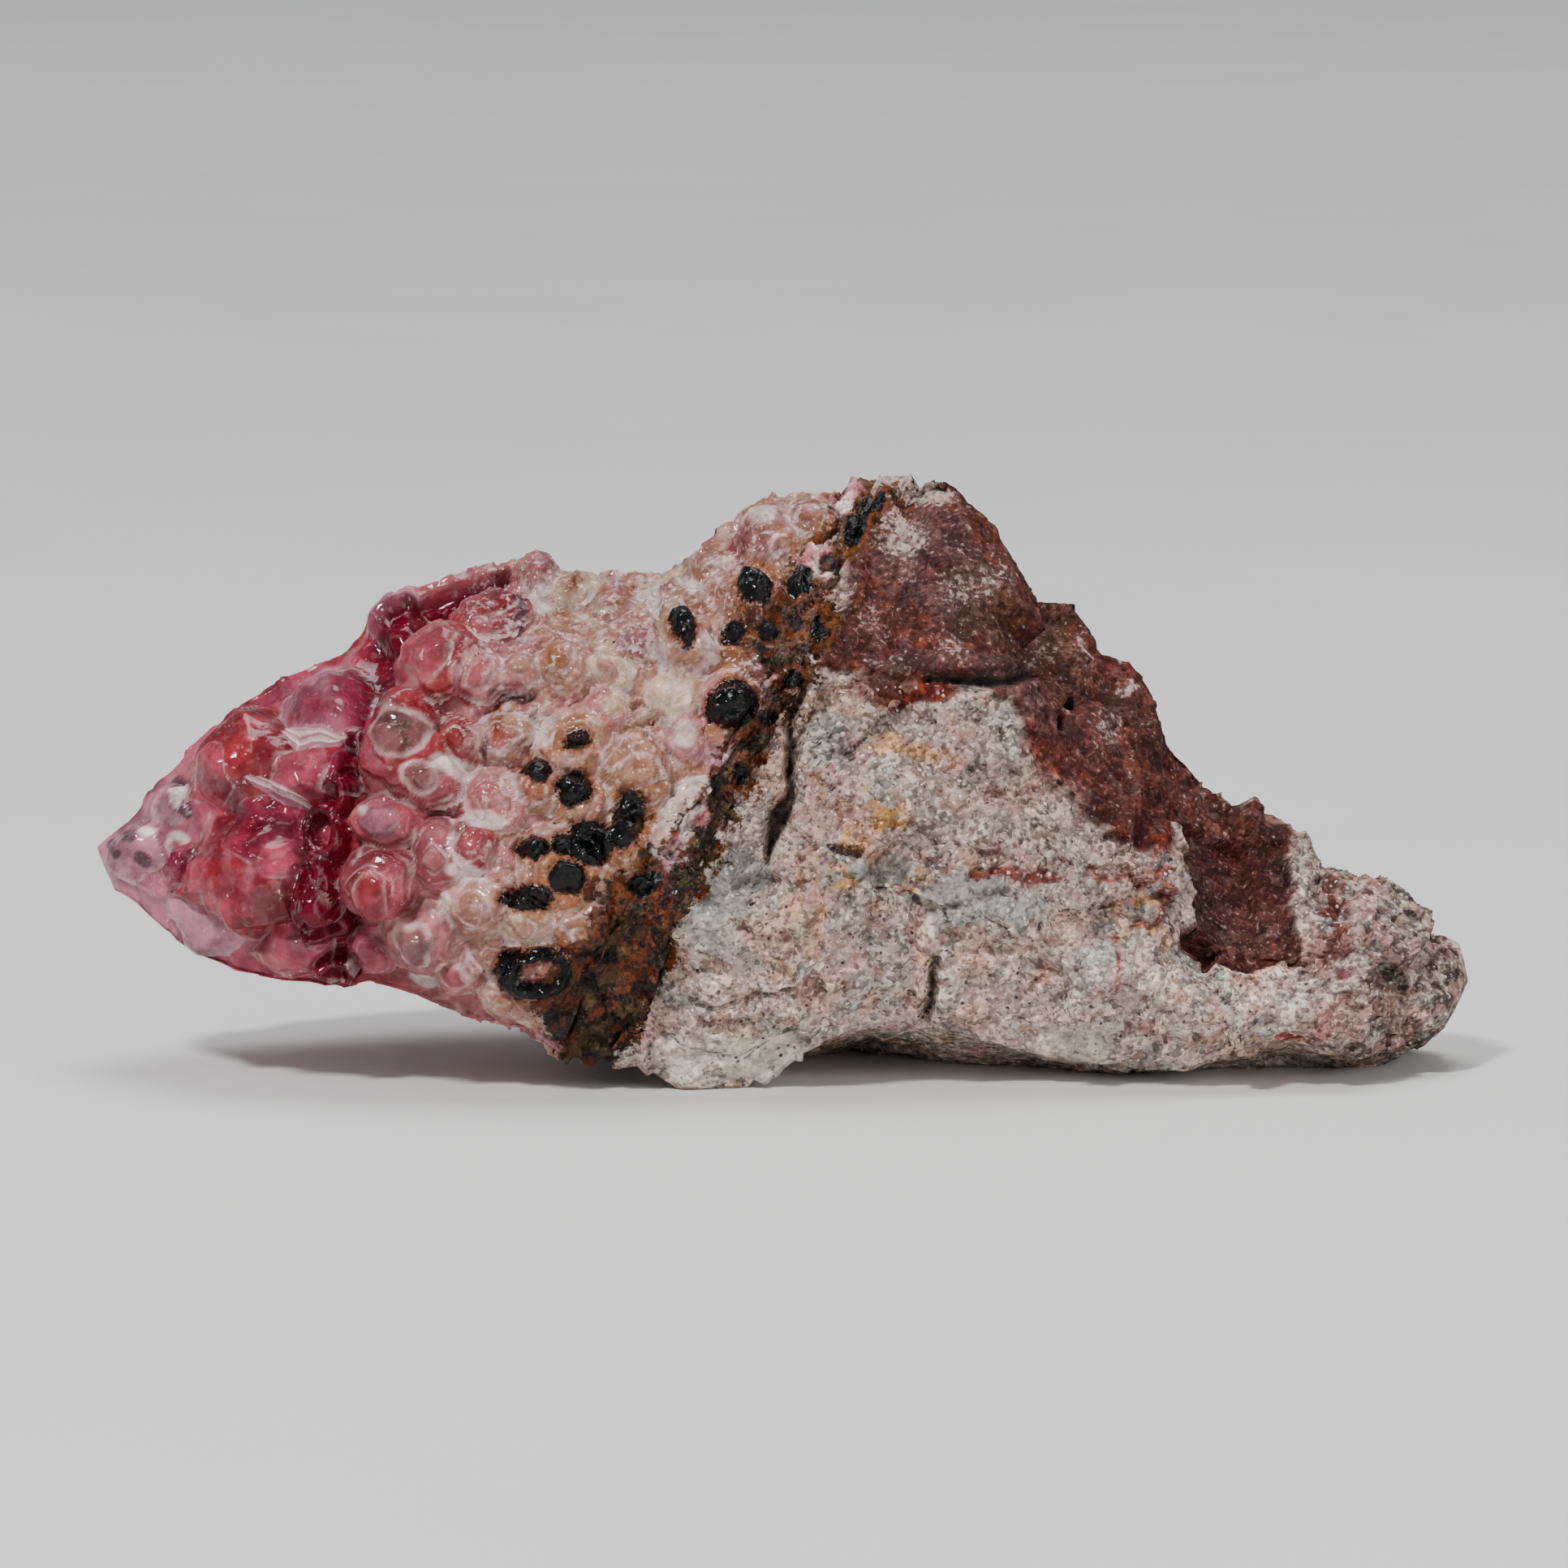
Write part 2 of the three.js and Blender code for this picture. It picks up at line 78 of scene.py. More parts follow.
TIP_X, TAIL_X = -50.0, 50.0
TOP_EDGE = np.array([
    (-50, 16), (-47, 19.6), (-44, 23.4), (-40, 27), (-32.6, 30.7), (-29, 35), (-18, 37.9), (-15.4, 36.2),
    (-9, 36.6), (-6.2, 37.8), (-1.6, 42), (8, 42.6), (11, 43.9), (12.6, 43.3), (15.6, 39.4), (17.2, 34.2),
    (21.9, 33), (23.6, 29.7), (25.5, 29.3), (29.5, 23.5), (34, 17.8), (37, 15.4), (38.7, 13.4),
    (43.7, 13.4), (47.5, 10.3), (49.4, 8.8), (50, 6),
])
BOTTOM_EDGE = np.array([
    (-50, 16), (-48.8, 13), (-44.2, 9.3), (-39.7, 7.4), (-33, 6.3), (-29.8, 7), (-26.5, 6.1), (-22, 4.3),
    (-18.9, 3.4), (-16.4, 1.6), (-10.4, 2.4), (-7.3, 0.5), (-2.4, -0.4), (0.6, 2.2), (6, 4.8), (9, 4.8),
    (11, 3.6), (20, 1.8), (29, 0.8), (33.6, 2.4), (36.6, 3.2), (39, 2.2), (44.5, 0.8), (47, 1.4), (50, 6),
])
BACK_FOOT = np.array([
    (-50, 16), (-46, 12), (-30, 8.5), (-18, 5), (-8, -1.8), (43, -1.8), (48, 2.5), (50, 6),
])
FRONT_Y = np.array([
    (-50, -2), (-48.5, -5.5), (-45, -8.5), (-38, -12.5), (-30, -15.5), (-20, -17.2), (-10, -17.4),
    (0, -16.5), (10, -16), (20, -15), (30, -14), (38, -12.5), (44, -10), (48, -6.5), (50, -1),
])
BACK_Y = np.array([
    (-50, -2), (-48.5, 1), (-45, 4), (-38, 8.5), (-30, 12.5), (-20, 15.4), (-10, 16.9), (0, 17.3),
    (10, 17), (20, 15.5), (30, 13), (38, 10.5), (44, 8), (48, 4.5), (50, -1),
])
CREST_Y = np.array([
    (-50, -2), (-38, -1), (-25, 1), (-10, 2.5), (2, 3.5), (10, 4), (20, 4), (30, 3), (40, 1.5), (50, -1),
])
RIDGE_Z = np.array([
    (-50, 16), (-47, 17.2), (-40, 22.5), (-32, 25.5), (-24, 30), (-14, 31), (-4, 31.5), (2, 31), (10, 30.2),
    (16, 28.6), (20, 22), (24, 18.4), (28, 16), (31, 10.5), (36, 9.5), (42, 9.5), (47, 7), (50, 6),
])
# The ring's corners, as shares of the section's depth or height at each x.
FRONT_INSET, BACK_FOOT_INSET, SHOULDER_INSET = 0.15, 0.26, 0.2
BULGE_RISE, SHOULDER_RISE, RIDGE_LOW, RIDGE_HIGH = 0.38, 0.76, 0.5, 0.86
RING_SHARES = np.array([0.19, 0.24, 0.15, 0.13, 0.1, 0.1, 0.09])
CORNERS = len(RING_SHARES)
# How round the ring runs between its corners, and the stretch of x where calcite gives way to angular rock.
CALCITE_ROUNDING, ROCK_ROUNDING = 0.6, 0.25
ROUND_TO_X, ANGULAR_FROM_X = -10, 6

# The contacts between layers: x = CONTACT_X + CONTACT_LEAN * z + CONTACT_TURN * y.
CONTACT_X, CONTACT_LEAN, CONTACT_TURN = -11.6, 0.44, 0.08
CONTACT_MIDDLE = (0.0, 19.0)  # y and z
CONTACT_WAVES = [(0.8, 0.35, 801), (0.35, 1.1, 811)]  # how far a contact wanders, then scale and seed
LAYER_GAP = 0.3
SEAM_THICKNESS, SEAM_SWELL, SEAM_SWELL_Z = 2.6, 2.6, 9.0

FACE_FOOT, FACE_STEP = 0.58, 0.004  # in shares of the way round: the broken face's lower end, and a step on it
FACE_EDGE, FACE_BLEND = 2.5, 4.0  # mm behind the crest where the face has ended, and over which it ends
BACK_AWAY, BACK_AWAY_MM = 4.0, 20.0  # added to distances on the back, in radii and in mm, to keep marks off it
# Steps over which the skin's direction is taken, in mm along it and in shares round it, and the ends left out.
ALONG_STEP, AROUND_STEP, END_MARGIN = 0.4, 0.01, 0.05
SWELL = 1.6  # how far the nodules and crystals stand out, next to the relief in their tables
NODULE_SPREAD = 1.15  # nodules run into each other: their domes reach this many times their radius
SEAM_LINE = 1.1  # width of the dark line that the oxide leaves on the face where calcite covers the seam
CRUST_GROUND = 0.7  # depth of the calcite's ground under the undisturbed skin
CREST_PAINTED_SHADE = 0.33  # how much darker the calcite is painted at its top: painted shade against the light from above

# ------------------------------------ what lies on the broken face

# Flat-faced crystals of the tip: x, z, radius, relief, colour.
GLASSY_CRYSTALS = [
    (-47.4, 16.4, 2.3, 0.9, "lilac"), (-44.6, 20, 1.9, 0.8, "lilac"), (-39.3, 23.6, 4.2, 1.8, "coral"),
    (-33.2, 27.3, 3.3, 1.5, "mauve"), (-35.2, 22.6, 2.1, 1.3, "rose"), (-38.6, 15.2, 4.9, 2.2, "coral"),
    (-43.7, 15.6, 1.6, 0.8, "magenta"), (-42, 11.4, 2.7, 0.9, "lilac"), (-35.2, 10, 2.9, 1.1, "rose"),
    (-28.3, 33.2, 2.4, 1.0, "lilac"), (-31.9, 22.6, 1.7, 0.6, "crimson"),
]
# Colours of the calcite between the nodules, from the tip to the seam, and the x of each.
GROUND_X = (-50, -40, -30, -22, -14, -4)
GROUND_COLOURS = ("lilac", "rose", "coral", "blush", "peach", "peach")
# Round nodules: x, z, radius, relief, colour of the shell, colour of the core.
NODULES = [
    (-24.8, 31, 3.3, 1.7, "coral", "salmon"), (-27.6, 24.7, 3.8, 1.9, "coral", "salmon"),
    (-24.9, 22.4, 2.1, 1.5, "salmon", "rose"), (-23.2, 25.6, 1.7, 1.3, "coral", "coral"),
    (-28.6, 19.5, 2.1, 1.3, "salmon", "mauve"), (-29.1, 15, 2.8, 1.4, "salmon", "coral"),
    (-25.7, 11, 2.9, 1.5, "blush", "mauve"), (-29.4, 9.6, 1.7, 0.8, "rose", "salmon"),
    (-21.2, 33.6, 2.9, 1.3, "salmon", "coral"), (-17.9, 36.2, 1.9, 1, "blush", "mauve"),
    (-22.2, 18.2, 1.9, 1.1, "coral", "salmon"), (-20.5, 21.4, 2.3, 0.9, "blush", "salmon"),
    (-24.7, 17.4, 2.3, 1.1, "salmon", "blush"), (-15.1, 34.9, 1.9, 1, "cream", "tan"),
    (-12.6, 34.6, 1.7, 0.9, "tan", "blush"), (-16, 31, 2.2, 1.1, "peach", "tan"),
    (-21.6, 29.9, 1.8, 1, "blush", "salmon"), (-19, 30.6, 1.7, 0.9, "blush", "peach"),
    (-12.4, 30.2, 1.7, 0.9, "cream", "blush"), (-12.6, 27.6, 1.8, 1, "blush", "cream"),
    (-20, 26, 1.9, 1, "tan", "salmon"), (-15.2, 25.4, 2.5, 1.1, "peach", "tan"),
    (-17.4, 22, 1.9, 1, "tan", "salmon"), (-14.7, 21, 2.1, 1, "tan", "peach"),
    (-10.4, 23.6, 2.9, 1.5, "tan", "peach"), (-7.3, 32.3, 2.5, 1.4, "white", "peach"),
    (-3.8, 27.2, 2.7, 1.3, "blush", "tan"), (-2.3, 35.2, 2.1, 1.1, "blush", "tan"),
    (-5.8, 36.4, 1.8, 0.8, "tan", "peach"), (-1.2, 39.3, 2.7, 1.2, "blush", "tan"),
    (2, 39.7, 2.3, 1, "tan", "blush"), (-7.6, 28.2, 1.9, 1, "cream", "white"),
    (-7.2, 25.7, 1.8, 0.9, "blush", "white"), (-6.6, 21, 2.1, 1.1, "white", "blush"),
    (-7.4, 18.4, 1.9, 1, "white", "lilac"), (-15.8, 16.4, 2.8, 1.1, "peach", "tan"),
    (-11.2, 18.6, 2.2, 1.2, "tan", "tan"), (-18.4, 12.8, 2.1, 0.9, "cream", "peach"),
    (-22, 13.6, 2.3, 1.1, "peach", "tan"), (-20.6, 10.2, 1.8, 0.8, "peach", "tan"),
    (-17.9, 9.2, 3.2, 1.3, "tan", "mauve"), (-23.3, 8.7, 2, 1, "blush", "salmon"),
    (-14.2, 12, 2.3, 0.9, "tan", "rust"), (-12.4, 8.6, 2.3, 0.9, "tan", "rust"),
    (-15.2, 5.6, 2.2, 0.9, "cream", "rust"), (-20.2, 6.6, 1.9, 0.8, "peach", "tan"),
    (-8.8, 35, 1.7, 0.7, "white", "blush"), (-10.2, 32.6, 1.6, 0.7, "mauve", "blush"),
]
# Cores that stand a little out of a nodule or a crystal: x, z, radius, rise, colours of the rim and the middle.
CORES = [
    (-24.7, 30.8, 1.8, 0.4, "blush", "salmon"), (-26.9, 26, 2, 0.5, "white", "smoke"),
    (-25.5, 22.6, 1.3, 0.4, "white", "smoke"), (-28.9, 15, 1.2, 0.3, "blush", "coral"),
    (-37.1, 18.4, 2.5, 0.35, "magenta", "magenta"), (-35.5, 16.6, 1.4, 0.3, "rose", "rose"),
    (-28.6, 19.6, 1.3, 0.3, "mauve", "mauve"), (-7.3, 32.4, 1.6, 0.2, "white", "amber"),
    (-23.3, 8.8, 1.2, 0.3, "white", "salmon"), (-40.6, 21.9, 1.9, 0.3, "salmon", "salmon"),
    (-26, 11.6, 1.6, 0.4, "white", "smoke"), (-15.4, 34.8, 1.1, 0.25, "cream", "tan"),
]
# The glossy crimson run that fills a gap between the crystals: chains of x, z, radius, and loops as x, z,
# radius along x, radius along z, radius of the run.
CRIMSON_STEMS = [
    [(-33.2, 17, 0.9), (-33.1, 15.4, 1.0), (-33, 13.4, 1.1)],
    [(-34.2, 15.8, 0.5), (-34.2, 14.4, 0.6), (-34, 13, 0.6)],
    [(-31.6, 22.6, 0.5), (-31.4, 21.2, 0.6), (-31.9, 20.2, 0.6)],
]
CRIMSON_LOOPS = [(-33, 18.8, 1.15, 1.5, 0.72), (-32.7, 12, 1.3, 0.75, 0.72), (-32.1, 8.6, 1.1, 0.8, 0.62)]
# The deep crimson fissure between the glassy tip and the nodules.
CRIMSON_FISSURE = [
    (-20.6, 36.4, 0.5), (-22, 35.8, 0.8), (-24.1, 34.6, 1.3), (-25.8, 33.8, 1.3), (-27.9, 32.2, 1.6),
    (-29, 30.8, 1.5), (-29.8, 28.9, 1.3), (-30.2, 27, 0.8), (-30.8, 25.4, 0.7), (-31.5, 23.4, 0.9),
]
# Cleavage faces, lilac, with white lines of painted highlight where they flash: x, z, half length, half width,
# slope.
CLEAVAGE_FLASHES = [(-33.7, 25.3, 2.5, 0.75, 0.0), (-36.1, 21.3, 2.3, 0.6, -0.4)]
# Soft tints laid over the crystals: x, z, radius along x, radius along z, colour.
CALCITE_TINTS = [
    (-48.8, 16.6, 0.45, 0.5, "plum"), (-47.3, 17.2, 0.6, 0.55, "plum"), (-48.2, 16, 0.4, 0.35, "plum"),
    (-46.2, 15.8, 0.35, 0.5, "plum"), (-46.5, 14.6, 0.8, 0.7, "mauve"), (-43.4, 19.8, 0.6, 0.8, "plum"),
    (-44.1, 21.3, 0.5, 0.5, "plum"), (-45.2, 18.2, 0.4, 0.5, "mauve"), (-46, 17.8, 0.6, 0.4, "white"),
    (-43.9, 17.5, 0.8, 0.4, "white"), (-43.8, 20.6, 0.25, 0.9, "white"), (-44.4, 16.6, 0.3, 0.8, "white"),
    (-43.7, 15.7, 0.8, 1.6, "magenta"), (-42.6, 22.9, 0.9, 1.4, "blush"), (-41.6, 18.3, 0.6, 1.6, "blush"),
    (-38.6, 25.6, 1.7, 1.3, "coral"), (-38.4, 22.8, 1.2, 1, "coral"), (-41.2, 20.4, 1.4, 1.1, "rose"),
    (-33.8, 29.5, 1.7, 0.8, "lilac"), (-31.4, 28, 1, 1.6, "magenta"), (-35.4, 27, 0.9, 1.3, "magenta"),
    (-33.4, 26.6, 1.6, 0.6, "magenta"), (-37.4, 18.8, 2.1, 1, "crimson"), (-34.4, 13.6, 0.9, 1.9, "crimson"),
    (-39.8, 13.4, 1.8, 1.5, "salmon"), (-37.2, 12.2, 1.6, 1, "coral"), (-41.4, 15.2, 0.8, 2.2, "salmon"),
    (-38.2, 10.9, 1.8, 0.7, "salmon"), (-43.4, 12.2, 1.8, 1, "lilac"), (-40.4, 10.2, 2.2, 0.8, "lilac"),
    (-37.6, 9.3, 1.8, 0.6, "blush"), (-33.6, 8.4, 1, 0.6, "salmon"), (-21.7, 35, 1.2, 0.8, "blush"),
    (-20.2, 33.4, 0.7, 0.7, "coral"), (-18.9, 33.8, 0.45, 0.9, "plum"), (-17.6, 34.6, 0.9, 0.9, "white"),
    (-23.6, 28.3, 1.5, 0.8, "coral"), (-23.8, 33, 1.3, 0.5, "coral"), (-26.7, 26.2, 0.7, 0.7, "smoke"),
    (-25.7, 11.4, 0.9, 0.8, "smoke"), (-23.4, 23.5, 1.6, 0.7, "white"), (-28.8, 22.6, 1.4, 0.6, "coral"),
    (-25.6, 27.9, 1.2, 0.6, "coral"), (-21.4, 24.7, 0.3, 0.8, "plum"), (-19.4, 28.5, 1.5, 0.4, "umber"),
    (-20.6, 26.8, 0.4, 1.4, "rust"), (-17.3, 26.3, 0.8, 1.4, "white"), (-16.2, 30.8, 0.8, 0.9, "amber"),
    (-15.8, 34.1, 0.5, 0.6, "amber"), (-24.4, 20.4, 1.8, 0.4, "crimson"), (-28.4, 17.3, 1.6, 0.5, "coral"),
    (-30.2, 17.4, 0.3, 0.9, "white"), (-29.9, 20.2, 0.5, 0.4, "white"), (-22.4, 16.4, 1.4, 0.5, "white"),
    (-21.4, 20, 1.6, 0.6, "white"), (-24, 14, 0.4, 1, "white"), (-12, 28, 1, 1.1, "cream"),
    (-8.2, 28.2, 1, 0.7, "cream"), (-5.4, 24.2, 1.2, 0.5, "lilac"), (-6.8, 21.6, 0.9, 1, "white"),
    (-7.2, 18.8, 1.1, 1.6, "white"), (-1.2, 30.2, 1, 0.8, "lilac"), (-3.6, 31.6, 1.5, 0.5, "amber"),
    (-1.6, 39.6, 1.1, 0.8, "white"), (-3.8, 38, 1, 0.7, "salmon"), (-17.2, 5, 1.7, 0.7, "cream"),
    (-14.8, 3.4, 2, 0.7, "mauve"), (-26, 7.8, 1.2, 0.5, "white"), (-13, 11.6, 1.2, 0.9, "tan"),
    (-13.4, 9.8, 0.8, 0.6, "white"),
]
# Black-green nuggets: x, z, radius along x, radius along z, tilt in radians.
NUGGETS = [
    (-7.3, 32.8, 0.9, 1.25, 0.2), (-2.1, 35.2, 1.25, 1.0, 0.0), (-3.5, 33.1, 0.8, 0.7, 0.0),
    (2.6, 33.2, 0.75, 0.9, 0.1), (-3.7, 27.9, 1.75, 1.8, 0.4), (-14.8, 25.3, 1.05, 0.7, 0.3),
    (-17.6, 23.3, 1.1, 0.95, -0.2), (-14.8, 22, 1.2, 1.2, 0.0), (-17.7, 18.1, 1.1, 0.9, 0.0),
    (-15.7, 18.2, 0.9, 0.8, 0.0), (-13.8, 18.5, 1.7, 1.6, 0.0), (-11.2, 19.7, 1.2, 2.1, -0.35),
    (-15.4, 16, 1.3, 1.1, 0.0), (-18.2, 14.7, 1.9, 0.9, 0.1), (-1.1, 26.9, 0.8, 0.7, 0.0),
    (-2.9, 23.2, 0.6, 0.8, 0.0), (6.4, 40.5, 1.0, 0.8, 0.0), (-9.8, 15.6, 1.2, 0.7, 0.2),
    (1.2, 36.2, 1.0, 1.1, 0.2), (-0.9, 33.4, 0.9, 0.7, 0.0), (0.6, 29.6, 0.9, 0.8, 0.1),
    (5.2, 39.2, 0.9, 1.2, -0.3),
]
# The ring-shaped nugget around a pale core: x, z, radius along x, radius along z of the ring and of the core.
RING_NUGGET = (-17.9, 9.2, 2.75, 2.05, 0.1)
RING_CORE = (-17.1, 9.5, 1.3, 0.8, 0.1)
# Brown-black patches of oxide with rust flecks, on whichever layer is there: x, z, radius.
OXIDE_PATCHES = [
    (4.7, 38.8, 1.5), (6.2, 40.3, 1.2), (7.6, 41.2, 0.9), (1.3, 35.4, 1.7), (1.8, 33.4, 2.2), (-0.2, 32.1, 2.4),
    (-2.8, 32.8, 1.3), (1.2, 30.6, 1.5), (-0.3, 28.2, 1.2), (-1.7, 26.4, 1.0), (-2.2, 24.8, 1.1),
    (-3, 22.6, 0.9), (-4.2, 20.2, 1.1), (-5.4, 17.9, 1.4), (-7, 15.8, 1.5), (-9.3, 13.6, 2.0),
    (-11.8, 14.6, 1.4), (-13.8, 15, 0.6), (-9.8, 10.4, 2.1), (-11.4, 7.2, 1.6), (-11.9, 4.8, 1.6),
    (-14.4, 5.6, 1.5), (-9.4, 17, 0.9),
]
# Thin plates that stand a little off the face and cast a dark line: chains of x, z, radius.
DARK_CRACKS = [
    [(-9.6, 25.8, 0.12), (-8.4, 24.4, 0.16), (-7.9, 22.8, 0.14), (-8, 21.6, 0.1)],
    [(-11.4, 26, 0.1), (-10.2, 26.6, 0.16), (-9.3, 27, 0.1)],
    [(-21.3, 26.9, 0.22), (-20.8, 28.4, 0.3), (-19.4, 29, 0.3), (-18.2, 28.7, 0.24)],
    [(-9.4, 34.6, 0.12), (-8.9, 33.4, 0.12)],
    [(-5, 22.6, 0.2), (-4.2, 22.4, 0.3), (-3.6, 23, 0.2)],
]

# ------------------------------------ what lies on the rock

# Hollows of the rock: x, y, z, width, height, depth.
HOLLOWS = [
    (33.4, -9, 12.5, 3.4, 5.2, 2.4), (38, -9, 8.5, 2.6, 1.8, 1.4), (8.6, -14, 1.5, 3.6, 3.2, 1.2),
    (-2.2, -16, 15, 1.4, 9, 1.1), (24, 12, 14, 6, 5, 1.6), (2, 17, 24, 7, 5, 1.5),
]
# Outline of the brown-red weathered slope on the broken face.
WEATHERED = np.array([
    (1.8, 30.8), (5, 30.2), (9.5, 29.4), (13.6, 29.2), (16.4, 28.4), (17, 25.6), (18.4, 22), (20.6, 19.4),
    (24.7, 17.3), (27.2, 16), (28.2, 18.2), (29.3, 14.6), (30.6, 8.7), (33.5, 8), (38.6, 8.4), (37.4, 11.5),
    (37, 14.8), (38.6, 17), (30, 34), (16, 48), (6, 48), (6.6, 41.6), (5.6, 39), (3.4, 34),
])
# The overhanging lower edge of the weathered slope, and the open cracks: chains of x, z, radius.
LEDGE_LINE = [(10.4, 29.6, 0.15), (13, 29.4, 0.35), (17, 29.2, 0.3), (19.4, 28.8, 0.1)]
ROCK_CRACKS = [
    [(1.4, 28.8, 0.2), (0.6, 27.2, 0.22), (0.6, 24.6, 0.3), (0.5, 21.8, 0.5), (-0.4, 20.2, 0.8),
     (-1, 18.6, 0.45), (-1.4, 17.4, 0.2)],
    [(10.5, 9.9, 0.15), (10.8, 7.3, 0.25), (10.1, 4.2, 0.3)],
    [(-6.6, 6.2, 0.1), (-3.5, 6.6, 0.1), (0.2, 8.2, 0.12)],
]
ROUND_HOLES = [(20.4, 26.5, 0.5), (19.3, 25.5, 0.5)]  # x, z, radius
HOLE_DEPTH = 1.6
PAINTED_SHADE_BLACK = (0.004, 0.003, 0.003)  # linear colour of the painted shade in the cracks and holes and under the ledge
FOOT_PAINTED_LIGHT = 1.56  # how much lighter the fresh break is painted below: painted light against the shade that falls low on the face
# Clouds of colour over the broken rock: colour, strength, then the noise's scale, seed, octaves, level, width.
ROCK_CLOUDS = [
    ("chalk", 0.4, 0.3, 721, 4, -0.5, 1.0), ("rosy", 0.7, 0.42, 731, 3, 0.1, 0.35),
    ("slate", 0.75, 0.3, 741, 3, 0.1, 0.3), ("ochre", 0.35, 0.5, 746, 3, 0.35, 0.3),
]
WHOLE_ABOVE = 0.8  # quartz and slate stronger than this are whole, smooth blocks
# Stains and patches of the rock: x, z, radius along x, radius along z, colour, strength. A stain that is
# stronger than 1 is unbroken.
ROCK_STAINS = [
    (8.5, 38.4, 2.4, 2.2, "chalk", 0.8), (13.3, 35.2, 2.9, 1.5, "chalk", 0.58),
    (11.9, 31.2, 1.9, 1.3, "chalk", 0.52), (22.6, 24.6, 1.7, 1.6, "chalk", 0.48),
    (6.6, 34.4, 1.8, 1.4, "chalk", 0.48), (22.4, 30.8, 0.8, 1.3, "chalk", 0.8),
    (25.3, 27.8, 1.0, 0.7, "chalk", 0.9), (19, 30.4, 1.0, 1.6, "chalk", 0.5),
    (11, 41.8, 2.4, 1.2, "chalk", 1.0), (6.6, 41.6, 3.4, 1.2, "chalk", 0.9),
    (28.4, 17.4, 0.5, 1.5, "chalk", 1.0), (7.2, 31.6, 1.5, 0.8, "chalk", 0.5),
    (14.4, 39, 1.2, 1.6, "brick", 0.6), (9.2, 28.8, 3.2, 1.4, "brown", 1.3), (10, 28.4, 2.2, 1.0, "brick", 0.8),
    (6.2, 29.2, 1.8, 0.9, "brown", 1.1), (13.6, 28.2, 1.6, 0.6, "rosy", 0.8),
    (19.6, 21.6, 1.6, 0.9, "brick", 0.7), (22.6, 18.8, 1.8, 0.8, "brown", 0.8),
    (17.2, 25.4, 0.7, 1.8, "brick", 0.8), (18.6, 22.4, 1.5, 1.0, "brick", 0.8),
    (27.2, 17, 0.9, 1.0, "brick", 0.8), (24.9, 15.4, 1.8, 0.9, "brick", 0.5),
    (30.9, 7.6, 1.6, 0.6, "brick", 0.7), (33, 6, 1.1, 0.5, "brick", 0.6), (36.4, 3.6, 1.3, 0.7, "brick", 0.9),
    (38.6, 4.6, 0.6, 0.4, "brick", 0.6), (41, 13.4, 2.4, 0.8, "brick", 0.4),
    (42.6, 9.6, 0.8, 2.4, "brick", 0.4), (48.6, 8.6, 1.2, 0.8, "brick", 0.6),
    (6.6, 20.6, 2.4, 1.3, "ochre", 0.85), (5.2, 18.6, 1.4, 1.0, "ochre", 0.75),
    (4, 15.9, 1.4, 1.3, "ochre", 0.8), (8.8, 14.7, 1.3, 1.1, "ochre", 0.95), (11, 24, 2.2, 0.7, "ochre", 0.6),
    (7.8, 25, 2.6, 0.9, "ochre", 0.7), (7, 17.6, 1.6, 0.5, "ochre", 0.5), (25.8, 14, 1.1, 0.7, "ochre", 0.7),
    (2.6, 21.6, 0.8, 1.8, "ochre", 0.35), (12.4, 16.6, 2.6, 0.6, "ochre", 0.35),
    (-2, 5.6, 3.0, 1.2, "ochre", 0.3), (25, 12.2, 2.2, 0.4, "ochre", 0.4), (-2.8, 16.8, 1.3, 1.3, "slate", 1.0),
    (-4.1, 14.7, 1.4, 1.7, "slate", 1.0), (-5.4, 12.3, 1.4, 1.7, "slate", 1.0),
    (7.2, 16.4, 2.4, 1.1, "slate", 0.85), (13, 14.4, 2.8, 1.2, "slate", 0.85),
    (17.2, 13.8, 1.8, 1.1, "slate", 0.85), (20.6, 8.2, 1.8, 2.2, "slate", 0.55),
    (14.6, 27.2, 2.6, 0.9, "slate", 0.5), (23, 12.8, 2.6, 0.8, "slate", 0.45),
    (28, 2.6, 2.4, 1.6, "slate", 0.4), (-3.6, 3.4, 2.2, 1.4, "slate", 0.35),
    (10.2, 13, 1.1, 1.2, "quartz", 0.9), (15.2, 15.4, 1.7, 0.5, "quartz", 0.8),
    (14, 22.5, 4.6, 3.2, "chalk", 0.5), (10.6, 26.6, 3.2, 1.0, "chalk", 0.5),
    (20.5, 2.6, 3.0, 1.6, "quartz", 0.85), (30.5, 3, 2.6, 1.6, "chalk", 0.5),
    (-6.2, 2.6, 2.6, 1.6, "quartz", 0.9), (-2, 2.2, 3.2, 1.9, "quartz", 1.0), (19, 20.4, 2.2, 2.2, "sand", 0.5),
    (23.6, 16.4, 1.8, 1.2, "sand", 0.4), (12, 20.6, 2.0, 0.8, "rosy", 0.5), (6, 11.6, 3.6, 1.2, "rosy", 0.4),
    (12, 9.8, 4.0, 1.0, "rosy", 0.4), (13.6, 5, 1.8, 2.2, "rosy", 0.5), (41, 5, 3.6, 1.6, "rosy", 0.35),
    (16, 11.6, 1.6, 0.5, "plum", 0.35), (7, 26.4, 1.6, 0.8, "plum", 0.4), (14.6, 23.4, 1.4, 0.8, "plum", 0.4),
    (46, 8.4, 2.6, 2.0, "plum", 0.3), (41.4, 10.6, 3.4, 3.0, "rosy", 0.6), (44, 5.6, 3.6, 2.0, "rosy", 0.5),
    (39.6, 9.4, 1.2, 3.0, "brick", 0.5), (39.6, 12.4, 1.5, 2.2, "brown", 0.8),
    (40.4, 9, 1.9, 1.2, "brown", 0.7), (42.4, 12.8, 2.6, 1.0, "brick", 0.5),
    (33.6, 6.8, 3.4, 1.2, "brick", 0.5),
]
PALE_CREST = (41.0, 12.5)  # the crest is pale above this z and left of this x
